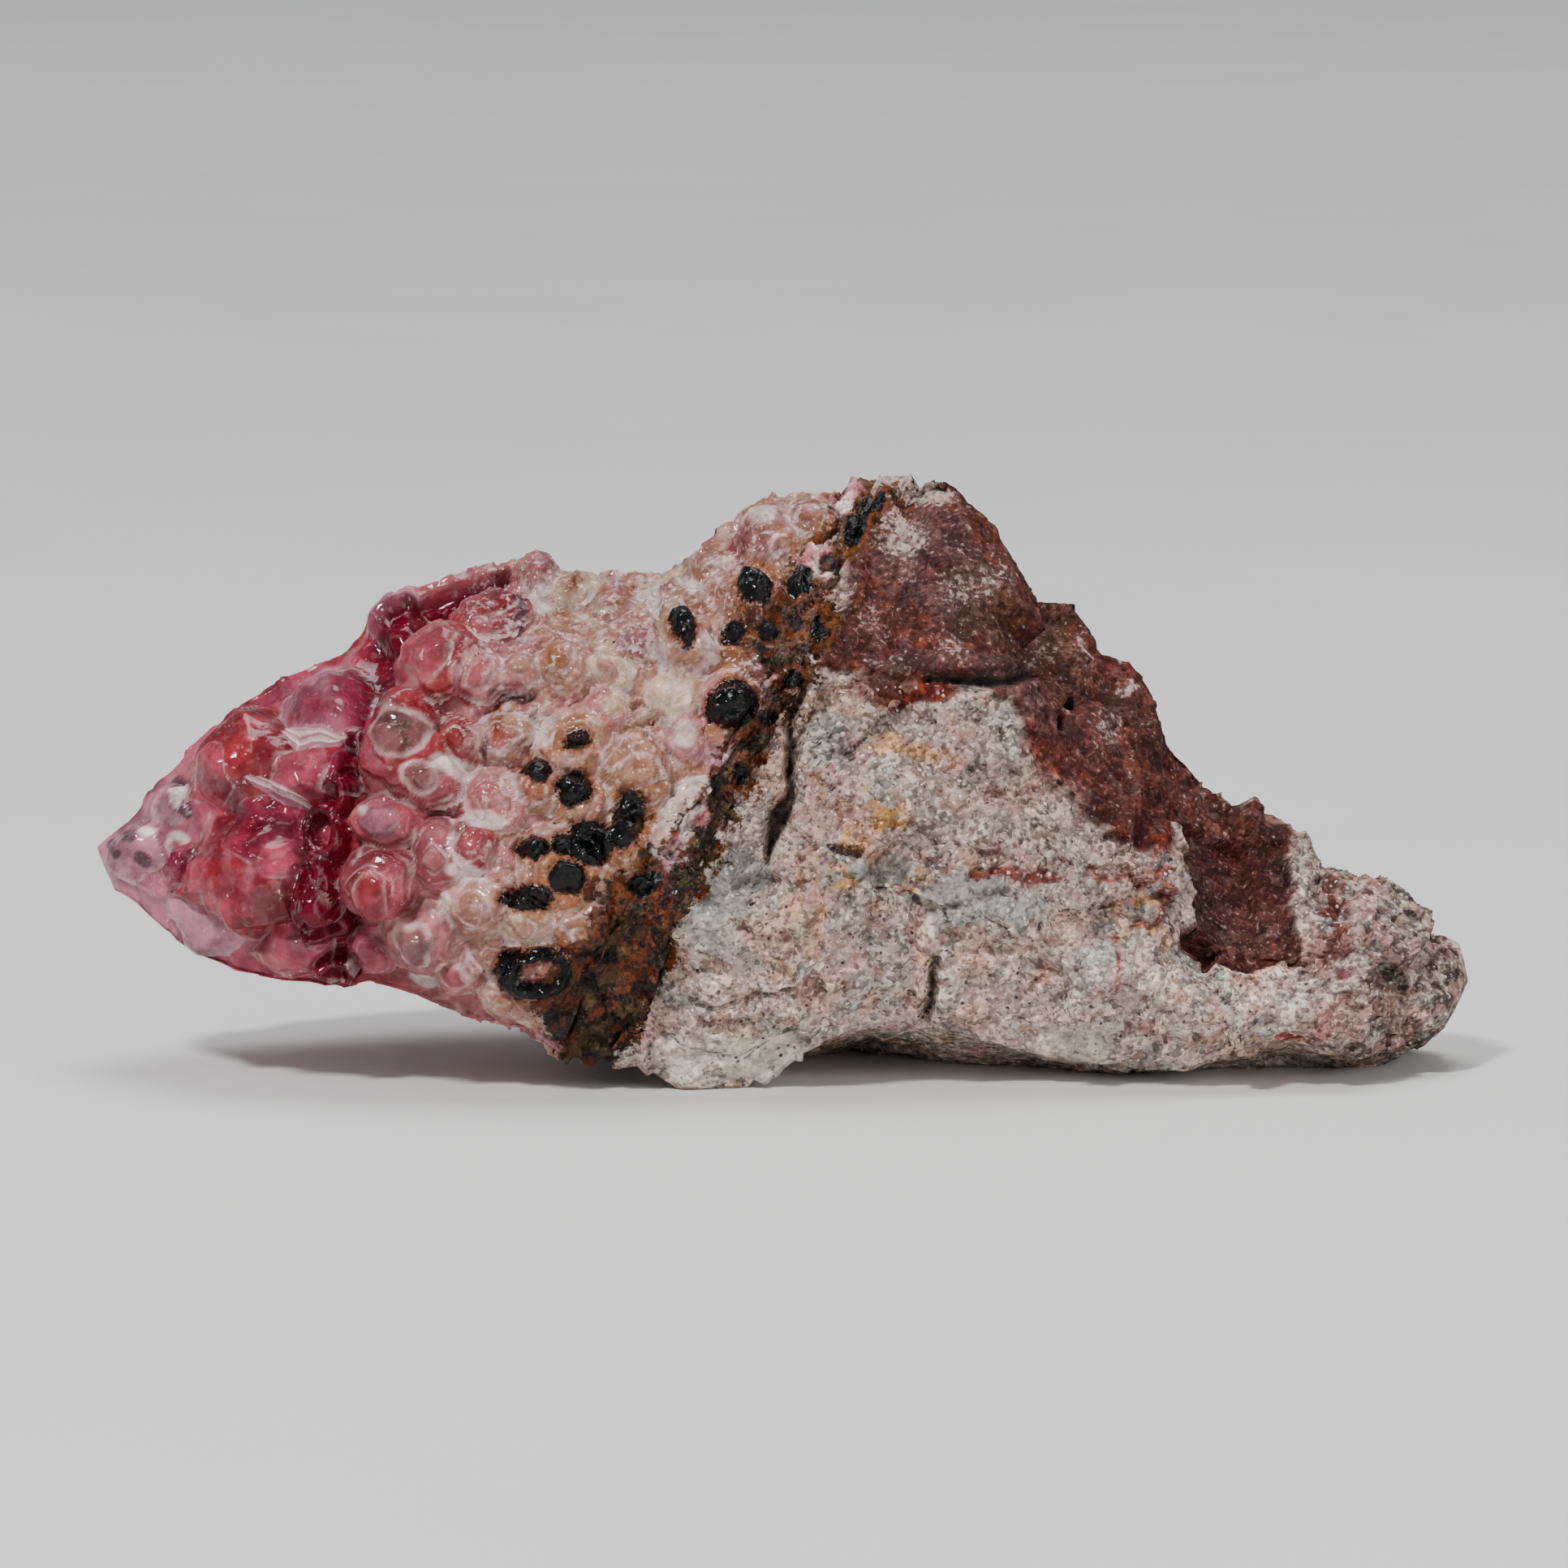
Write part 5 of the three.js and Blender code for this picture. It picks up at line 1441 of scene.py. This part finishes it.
def grain_group():
    """Sugary grains: cells of a random shade each, with a height that falls to their edges."""
    tree, given, result = group(
        "Sugary grain",
        [("Vector", "Vector", None), ("Size", "Float", GRAIN_SIZE)],
        [("Shade", "Float"), ("Hue", "Float"), ("Height", "Float")],
    )
    place = given["Vector"]
    bend = vectors("MULTIPLY", clouds(place, 1.7, 2.0)["Color"], (GRAIN_BEND,) * 3)
    cell = cells(vectors("ADD", place, bend), given["Size"])
    shade, hue, _ = channels(cell["Color"])
    fill(result, Shade=shade, Hue=hue, Height=cell["Distance"].step(0.0, 0.9, 1.0, 0.0))
    return tree


def facet_group():
    """Crystal facets: each cell is a plane of a random tilt through the cell's middle, with a random shade."""
    tree, given, result = group(
        "Facets",
        [("Vector", "Vector", None), ("Size", "Float", 0.8), ("Tilt", "Float", 0.8)],
        [("Height", "Float"), ("Shade", "Float")],
    )
    cell = cells(given["Vector"], given["Size"])
    away = vectors("SUBTRACT", given["Vector"], cell["Position"])
    tilt = vectors("SUBTRACT", cell["Color"], (0.5, 0.5, 0.5))
    rise = vectors("DOT_PRODUCT", away, tilt, "Value")
    fill(result, Height=rise * given["Tilt"], Shade=channels(cell["Color"])[2])
    return tree


def mottle_group():
    """Ragged patches: layered noise cut at a level with a soft edge."""
    tree, given, result = group(
        "Mottle",
        [("Vector", "Vector", None), ("Scale", "Float", 1.0), ("Level", "Float", 0.5), ("Edge", "Float", 0.08)],
        [("Mask", "Float")],
    )
    level, edge = given["Level"], given["Edge"]
    fill(result, Mask=cloud(given["Vector"], given["Scale"], 4.0).step(level - edge, level + edge))
    return tree


# Clouds of the oxide, each over the last: colour, scale of the noise, and the levels where it starts and fills.
OXIDE_CLOUDS = [("Olive", 0.7, 0.46, 0.6), ("Rust", 0.45, 0.46, 0.58), ("Umber", 1.6, 0.44, 0.6)]


def oxide_group():
    """Oxide and its nuggets: their colour, where they cover, how glossy they are and their relief."""
    colours = [(name, "Color", None) for name in ("Base", "Umber", "Olive", "Rust", "Nugget", "Halo")]
    distances = [("Oxide Distance", "Float", FAR_OFF), ("Nugget Distance", "Float", FAR_OFF)]
    tree, given, result = group(
        "Oxide cover",
        [("Vector", "Vector", None), *colours, *distances],
        [("Color", "Color"), ("Cover", "Float"), ("Black", "Float"), ("Height", "Float")],
    )
    place = given["Vector"]
    fine = cloud(place, 1.6, 5.0, 0.65)
    cover = (given["Oxide Distance"] + (fine - 0.5) * 5.0).step(0.3, -0.3)
    earth = given["Umber"]
    for name, scale, low, high in OXIDE_CLOUDS:
        earth = blend(cloud(place, scale, 6.0, 0.65).step(low, high), earth, given[name])
    speck = cloud(place, 3.4, 4.0, 0.65).step(0.58, 0.66)
    earth = blend(speck * 0.45, earth, given["Halo"])
    near = given["Nugget Distance"] + (cloud(place, 3.2, 3.0, 0.65) - 0.5) * 0.9
    colour = blend(cover, given["Base"], earth)
    colour = blend(near.step(0.5, 0.0) * 0.55, colour, given["Rust"])
    black = near.step(0.1, -0.08)
    colour = blend(black, colour, blend(speck * 0.2, given["Nugget"], given["Rust"]))
    fill(result, Color=colour, Cover=cover, Black=black, Height=fine)
    return tree


GROUP_MAKERS = {
    "Sugary grain": grain_group,
    "Facets": facet_group,
    "Mottle": mottle_group,
    "Oxide cover": oxide_group,
}


def effect(name, place, **values):
    """A node group, made once, placed in a material with its own values. Gives its outputs by name."""
    node_tree = bpy.data.node_groups.get(name) or GROUP_MAKERS[name]()
    node = put(place.tree, "ShaderNodeGroup", node_tree=node_tree)
    fill(node.inputs, Vector=place, **values)
    return wires(node.outputs)


def begin_material(name, **values):
    """A material whose shader has its values set, its shader's inputs and its coordinates in millimetres."""
    made = bpy.data.materials.new(name)
    made.use_nodes = True
    shader = made.node_tree.nodes["Principled BSDF"].inputs
    fill(shader, **values)
    coordinates = Wire(put(made.node_tree, "ShaderNodeTexCoord").outputs["Object"])
    place = put(made.node_tree, "ShaderNodeMapping", {"Vector": coordinates, "Scale": (1 / MM, 1 / MM, 1 / MM)})
    return made, shader, Wire(place.outputs["Vector"])


def colours_of(settings):
    """A property group's colours by name."""
    return {name: tuple(getattr(settings, name)) for name in settings.__annotations__}


def cover_with_oxide(place, base, palette):
    """The Oxide cover group over a base colour, fed from the piece's distances."""
    return effect(
        "Oxide cover", place, Base=base, Umber=palette["umber"], Olive=palette["olive"], Rust=palette["rust"],
        Nugget=palette["nugget"], Halo=palette["tan"], Oxide_Distance=mark(place, "oxide"),
        Nugget_Distance=mark(place, "nugget"),
    )


def calcite_material(palette):
    """Glassy banded calcite: pale rims and rings that follow each nodule, milky patches, cleavage and oxide."""
    made, shader, place = begin_material(
        "Banded calcite", IOR=1.5, Subsurface_Weight=0.15, Subsurface_Radius=(1.0, 0.5, 0.5),
        Subsurface_Scale=0.001, Specular_IOR_Level=0.15, Coat_Weight=0.22, Coat_Roughness=0.02,
    )
    white = palette["white"]
    glassy = mark(place, "glassy")
    fine = cloud(place, 0.9, 6.0, 0.65)
    broad = cloud(place, 0.5, 2.0)
    depth = cloud(place, 0.35, 4.0, 0.6)
    facets = effect("Facets", place, Size=0.9, Tilt=1.0)
    fine_facets = effect("Facets", place, Size=0.38, Tilt=1.0)
    sugary = glassy.step(0.0, 1.0, 1.0, 0.12)

    # The body: clouded, with a shade for each facet, and deep and clear at the tip.
    colour = shaded(mark(place, "tint", "Color"), fine.step(0.3, 0.7, glassy.step(0.0, 1.0, 0.65, 0.8), 1.2))
    colour = shaded(colour, (facets["Shade"] - 0.5) * (sugary * 0.3) + 1.0)
    colour = shaded(colour, glassy.step(0.0, 1.0, 1.0, depth.step(0.38, 0.62, 0.55, 1.15)))

    # Pale rims and rings, broken here and there, and milky patches.
    ring = (mark(place, "ring") + (fine - 0.5) * 0.45).step(0.22, 0.04)
    pale = ring * broad.step(0.4, 0.62, 0.15, 0.7) * glassy.step(0.5, 1.0, 1.0, 0.45)
    colour = blend(pale, colour, white)
    milky = effect("Mottle", place, Scale=2.1, Level=0.62)["Mask"]
    colour = blend(milky * glassy.step(0.0, 0.8, 0.55, 0.06), colour, white)

    # Cleavage faces: lilac, with white lines of painted highlight where they flash, and clusters of white
    # flecks that are painted glints.
    over = mark(place, "across") + fine * 0.3
    inputs = {"W": over, "Scale": 3.0, "Detail": 4.0}
    lines = wires(put(place.tree, "ShaderNodeTexNoise", inputs, noise_dimensions="1D").outputs)
    # White lines of painted highlight across the cleavage faces.
    bright = lines["Fac"].step(0.47, 0.66, 0.0, 0.8)
    lens = (mark(place, "flash") + (fine - 0.5) * 0.9).step(0.45, 0.65)
    colour = blend(lens * 0.7, colour, palette["lilac"])
    colour = blend(lens * bright, colour, white)
    # Painted glints: small white flecks, in clusters, on the glassy calcite.
    flecks = effect("Mottle", place, Scale=2.3, Level=0.66, Edge=0.02)["Mask"]
    painted_glint_cluster = broad.step(0.54, 0.64) * glassy.step(0.2, 0.8, 0.0, 0.6)
    colour = blend(flecks * painted_glint_cluster, colour, white)

    cover = cover_with_oxide(place, colour, palette)
    rough = (fine.step(0.35, 0.65, 0.06, 0.2) + cover["Cover"] * 0.35).clamped()
    rise = (facets["Height"] + fine_facets["Height"]) * (sugary * broad.step(0.35, 0.6, 0.3, 0.9))
    height = rise + cover["Height"] * (cover["Cover"] * 0.5)
    fill(shader, Base_Color=cover["Color"], Roughness=rough, Normal=bump(height, 1.0))
    return made


def crystal_material(palette):
    """Glassy crystals: each its own tint, clouded within, with near-mirror faces."""
    made, shader, place = begin_material(
        "Drusy crystals", IOR=1.55, Roughness=0.08, Subsurface_Weight=0.2, Subsurface_Radius=(1.0, 0.4, 0.4),
        Subsurface_Scale=0.0012, Specular_IOR_Level=0.4, Coat_Weight=0.3, Coat_Roughness=0.02,
    )
    veil = effect("Mottle", place, Scale=0.5, Level=0.58, Edge=0.2)["Mask"]
    colour = blend(veil * 0.35, mark(place, "tint", "Color"), palette["white"])
    fill(shader, Base_Color=colour, Normal=bump(cloud(place, 3.0, 3.0), 0.12, 0.1 * MM))
    return made


def seam_material(palette):
    """Crumbly oxide with rust flecks and black-green nuggets."""
    made, shader, place = begin_material(
        "Iron and cobalt oxide", Specular_IOR_Level=0.25, Coat_Weight=0.1, Coat_Roughness=0.1,
    )
    grain = effect("Sugary grain", place, Size=0.5)
    facets = effect("Facets", place, Size=0.45, Tilt=1.2)
    base = shaded(mark(place, "tint", "Color"), grain["Shade"].step(0.0, 1.0, 0.55, 1.4))
    cover = cover_with_oxide(place, base, palette)
    height = (grain["Height"] + cover["Height"]) * 0.2 + facets["Height"]
    fill(shader, Base_Color=cover["Color"], Roughness=0.55 - cover["Black"] * 0.4, Normal=bump(height, 0.9))
    return made


def rock_material(palette, oxide_palette, grain_size):
    """Sugary rock: pale, dark and pink grains over its tint, chalk, and grit on the weathered slope."""
    made, shader, place = begin_material("Sugary host rock", IOR=1.45, Specular_IOR_Level=0.2)
    worn, calm, chalk = mark(place, "worn"), mark(place, "calm"), mark(place, "chalk")
    grain = effect("Sugary grain", place, Size=grain_size)
    coarse = effect("Sugary grain", place, Size=grain_size * COARSE_GRAIN)
    facets = effect("Facets", place, Size=grain_size * FACET_GRAIN, Tilt=1.1)
    crumbs = cloud(place, 1.1, 6.0, 0.75)
    clumps = cloud(place, 0.7, 4.0, 0.6)
    dust = cloud(place, 2.4, 3.0, 0.65)

    # Each grain has a shade, and some of the coarse ones are pink.
    shade = grain["Shade"].step(0.0, 1.0, calm.step(0.0, 0.8, 0.4, 0.88), calm.step(0.0, 0.8, 1.36, 1.08))
    colour = shaded(mark(place, "tint", "Color"), shade * coarse["Shade"].step(0.0, 1.0, 0.76, 1.18))
    pink = coarse["Hue"].step(0.7, 0.95) * calm.step(0.0, 0.5, 0.5, 0.0)
    colour = blend(pink, colour, palette["rosy"])

    # White and dark grains, which keep to clumps of their own and are rarer on the weathered slope.
    middle = grain["Height"].step(0.45, 0.7)
    rate = worn.step(0.0, 1.0, 1.0, 0.25)
    many, few = clumps.step(0.42, 0.58, 0.35, 1.0) * rate, clumps.step(0.55, 0.4, 0.15, 1.0) * rate
    pale = grain["Hue"].step(worn.step(0.0, 1.0, 0.34, 0.05), 0.02) * many
    colour = blend(pale * middle, colour, palette["grit"])
    colour = blend(grain["Hue"].step(0.8, 0.92) * few * middle, colour, palette["plum"])

    # Uneven light and dark, and dust and grit on the weathered slope.
    uneven = crumbs.step(0.3, 0.7, worn.step(0.0, 1.0, 0.9, 0.7), worn.step(0.0, 1.0, 1.1, 1.25))
    colour = shaded(colour, uneven)
    colour = blend(dust.step(0.54, 0.74, 0.0, 0.28) * worn, colour, palette["rosy"])
    colour = blend(dust.step(0.5, 0.34, 0.0, 0.75) * worn, colour, palette["shadow"])

    # Chalk, which lies in flakes on the fresh break and in loose dust on the weathered slope.
    ragged = (crumbs - 0.5) * 4.0
    flakes = (chalk + ragged).step(0.4, 1.1) * grain["Shade"].step(0.1, 0.7, 0.3, 0.9)
    loose = ((dust - 0.5) * 2.8 + chalk + ragged * 0.25).step(0.4, 1.0, 0.0, 0.85)
    loose = loose * grain["Shade"].step(0.1, 0.7, 0.5, 1.0)
    colour = blend(chalk * 0.15, colour, palette["rosy"])
    colour = blend(worn.step(0.2, 0.8, flakes, loose), colour, palette["chalk"])

    specks = effect("Mottle", place, Scale=1.9, Level=0.64, Edge=0.03)["Mask"]
    colour = blend(specks * 0.6, colour, palette["plum"])
    # Painted shade, nearly black, in the cracks, the holes and under the ledge.
    colour = blend(mark(place, "dark") * 0.94, colour, PAINTED_SHADE_BLACK)
    cover = cover_with_oxide(place, colour, oxide_palette)
    rough = grain["Hue"].step(0.0, 0.5, worn.step(0.0, 1.0, 0.4, 0.8), 0.9)
    rough = (rough - cover["Black"] * 0.5).clamped()
    height = (grain["Height"] + coarse["Height"] * 1.5) * 0.15 + facets["Height"]
    height = height * calm.step(0.0, 1.0, 0.8, 0.15)
    fill(shader, Base_Color=cover["Color"], Roughness=rough, Normal=bump(height, 0.9))
    return made


# ------------------------------------ operators


class DRUSE_OT_calcite(bpy.types.Operator):
    """Build the calcite crust with its nodules, fissure and nuggets"""

    bl_idname = "druse.calcite"
    bl_label = "Calcite crust"

    def execute(self, context):
        palette = colours_of(context.scene.druse_colours)
        swell = context.scene.druse_finish.nodule_swell
        crust = build_skin(
            "calcite_crust_skin", lambda p: crust_relief(p, swell), lambda p: crust_marks(p, palette),
            CRUST_ROWS, end=crust_contact,
        )
        crust.data.materials.append(calcite_material(palette))
        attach(crust, BODY)
        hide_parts("calcite_crust")
        return {"FINISHED"}


class DRUSE_OT_crystals(bpy.types.Operator):
    """Build the drusy rhombohedral crystals of the back and the underside"""

    bl_idname = "druse.crystals"
    bl_label = "Drusy crystals"

    def execute(self, context):
        palette = colours_of(context.scene.druse_colours)
        large = scatter(DRUSE_COUNT, DRUSE_X, DRUSE_ROUND, DRUSE_RADIUS, 3)
        small = scatter(context.scene.druse_finish.crystal_count, SMALL_X, SMALL_ROUND, SMALL_RADIUS, 17)
        centre, direction, radius, turn = (np.concatenate(pair) for pair in zip(large, small))
        n = np.arange(len(radius))
        warm = rising(centre[:, 0], -34, 26)
        tint = paint(all_over(centre, palette["magenta"]), palette["rose"], hashed(n, 8, 0, 5))
        tint = paint(tint, palette["blush"], 0.75 * warm * (0.4 + 0.6 * hashed(n, 9, 0, 5)))
        tint = paint(tint, palette["lilac"], 0.5 * (hashed(n, 10, 0, 5) > 0.8))
        mesh = crystal_mesh("drusy_crystals", centre, direction, radius, turn, tint)
        mesh.materials.append(crystal_material(palette))
        crystals = add_object("drusy_crystals", mesh)
        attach(crystals, BODY)
        return {"FINISHED"}


class DRUSE_OT_seam(bpy.types.Operator):
    """Build the oxide seam between the calcite and the rock"""

    bl_idname = "druse.seam"
    bl_label = "Oxide seam"

    def execute(self, context):
        palette = colours_of(context.scene.druse_colours)
        seam = build_skin(
            "oxide_seam_skin", seam_relief, lambda p: seam_marks(p, palette), SEAM_ROWS,
            start=crust_contact, end=rock_contact,
        )
        seam.data.materials.append(seam_material(palette))
        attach(seam, BODY)
        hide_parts("oxide_seam")
        return {"FINISHED"}


class DRUSE_OT_rock(bpy.types.Operator):
    """Build the host rock with its weathered slope, ledges, cracks and holes"""

    bl_idname = "druse.rock"
    bl_label = "Host rock"

    def execute(self, context):
        palette = colours_of(context.scene.druse_rock)
        oxide_palette = colours_of(context.scene.druse_colours)
        rock = build_skin(
            "host_rock_skin", rock_relief, lambda p: rock_marks(p, palette), ROCK_ROWS, start=rock_contact,
        )
        rock.data.materials.append(rock_material(palette, oxide_palette, context.scene.druse_finish.grain_size))
        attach(rock, BODY)
        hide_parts("host_rock")
        return {"FINISHED"}


# ------------------------------------ the stage

FLOOR_FLAT, FLOOR_BEND = 1.7, 0.9  # metres: the flat disc, and the radius of its upturned rim
FLOOR_BEND_STEPS = 24
FLOOR_SHADE = 0.97  # the floor's darker patches, next to its paler ones
LIGHTS = [
    # name, place in metres, size in metres, setting that gives its power
    ("key_light", (-0.3, -0.45, 0.68), 0.1, "key_power"),
    ("fill_light", (0.6, -0.55, 0.3), 0.5, "fill_power"),
    ("top_light", (0.05, 0.15, 0.75), 0.4, "top_power"),
]
BACKDROP_LIGHTS = 4
# In metres: how far out and how high a backdrop light hangs, its size, and how far out and high it looks.
BACKDROP_OUT, BACKDROP_UP, BACKDROP_SIZE, BACKDROP_SPOT = 1.0, 1.3, 1.0, (2.4, 0.3)
SKY_COLOUR = (0.9, 0.93, 1.0)


def floor_mesh():
    """A flat disc whose rim turns up in a quarter circle, as rings round the Z axis."""
    bend = np.linspace(0, math.pi / 2, FLOOR_BEND_STEPS)
    radius = np.concatenate([[0, 0.2, FLOOR_FLAT / 2], FLOOR_FLAT + FLOOR_BEND * np.sin(bend)])
    height = np.concatenate([[0, 0, 0], FLOOR_BEND * (1 - np.cos(bend))])
    angle = np.linspace(0, 2 * math.pi, COLUMNS, endpoint=False)
    x, y = radius[:, None] * np.cos(angle), radius[:, None] * np.sin(angle)
    rings = np.stack([x, y, height[:, None] + 0 * angle], -1)
    points = np.concatenate([rings[:1, 0], rings[1:].reshape(-1, 3)]) / MM
    ring, following = ring_columns()
    fan = np.stack([np.zeros(COLUMNS, int), 1 + ring, 1 + following], -1)
    return mesh_from_arrays("floor", points, row_quads(len(radius) - 1), fan, {})


def aim(thing, target):
    """Turns a light or a camera to look at a point."""
    thing.rotation_euler = (Vector(target) - thing.location).to_track_quat("-Z", "Y").to_euler()


def add_light(name, size, power, where, target):
    """A square area light that looks at a point."""
    lamp = bpy.data.lights.new(name, "AREA")
    lamp.size = size
    lamp.energy = power
    light = add_object(name, lamp)
    light.location = where
    aim(light, target)


def add_floor(settings):
    """The plain pale floor, a little uneven in colour."""
    mesh = floor_mesh()
    mesh.shade_smooth()
    made, shader, place = begin_material("Studio floor", Roughness=0.7)
    base = tuple(settings.floor_colour)
    uneven = cloud(place, 0.02, 2.0).step(0.3, 0.7)
    fill(shader, Base_Color=blend(uneven, base, tuple(FLOOR_SHADE * c for c in base)))
    mesh.materials.append(made)
    add_object("floor", mesh)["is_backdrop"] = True


def add_camera(middle, distance):
    """The camera, a little above the specimen and level with its middle from left to right."""
    lens = bpy.data.cameras.new("camera")
    lens.sensor_width = SENSOR
    lens.sensor_fit = "HORIZONTAL"
    lens.lens = SENSOR * VIEW_DISTANCE / VIEW_WIDTH
    lens.clip_start = 0.01
    camera = add_object("camera", lens)
    tilt = math.radians(VIEW_ELEVATION)
    camera.location = middle + Vector((0, -math.cos(tilt), math.sin(tilt))) * distance
    aim(camera, middle)
    bpy.context.scene.camera = camera


class DRUSE_OT_stage(bpy.types.Operator):
    """Build the floor, the lights and the camera"""

    bl_idname = "druse.stage"
    bl_label = "Stage"

    def execute(self, context):
        settings = context.scene.druse_stage
        middle = Vector((0, 0, VIEW_HEIGHT * MM))
        add_floor(settings)
        for name, where, size, power in LIGHTS:
            add_light(name, size, getattr(settings, power), where, middle)
        for n in range(BACKDROP_LIGHTS):
            angle = math.tau * n / BACKDROP_LIGHTS
            way = Vector((math.sin(angle), math.cos(angle), 0))
            where = BACKDROP_OUT * way + Vector((0, 0, BACKDROP_UP))
            spot = BACKDROP_SPOT[0] * way + Vector((0, 0, BACKDROP_SPOT[1]))
            add_light("backdrop_light_%d" % n, BACKDROP_SIZE, settings.backdrop_power, where, spot)
        world = bpy.data.worlds.new("Surroundings")
        world.use_nodes = True
        fill(world.node_tree.nodes["Background"].inputs, Color=SKY_COLOUR, Strength=settings.sky_strength)
        context.scene.world = world
        add_camera(middle, settings.distance)
        return {"FINISHED"}


# ------------------------------------ the sidebar


class DRUSE_PT_panel(bpy.types.Panel):
    """The sidebar's list of pieces and settings"""

    bl_idname = "DRUSE_PT_panel"
    bl_label = "Calcite druse"
    bl_space_type = "VIEW_3D"
    bl_region_type = "UI"
    bl_category = "Druse"

    def draw(self, context):
        for operator in OPERATORS:
            self.layout.operator(operator.bl_idname)
        for settings in SETTINGS:
            box = self.layout.box()
            group_of = getattr(context.scene, settings)
            for name in group_of.__annotations__:
                box.prop(group_of, name)


OPERATORS = (DRUSE_OT_stage, DRUSE_OT_calcite, DRUSE_OT_crystals, DRUSE_OT_seam, DRUSE_OT_rock)
SETTINGS = {
    "druse_colours": DruseColours,
    "druse_rock": RockColours,
    "druse_finish": FinishSettings,
    "druse_stage": StageSettings,
}


def register():
    """Adds the classes and puts the settings on the scene."""
    for cls in (*SETTINGS.values(), *OPERATORS, DRUSE_PT_panel):
        bpy.utils.register_class(cls)
    for name, cls in SETTINGS.items():
        setattr(bpy.types.Scene, name, PointerProperty(type=cls))


def unregister():
    """Takes away what register added."""
    for name in SETTINGS:
        delattr(bpy.types.Scene, name)
    for cls in (DRUSE_PT_panel, *OPERATORS, *SETTINGS.values()):
        bpy.utils.unregister_class(cls)


def main():
    """Builds the stage and every piece."""
    register()
    bpy.ops.druse.stage()
    bpy.ops.druse.calcite()
    bpy.ops.druse.crystals()
    bpy.ops.druse.seam()
    bpy.ops.druse.rock()
    boxes = {"cad": CAD_BOX, "visual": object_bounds()}
    {name: [list(corner) for corner in box] for name, box in boxes.items()}


if __name__ == "__main__":
    main()
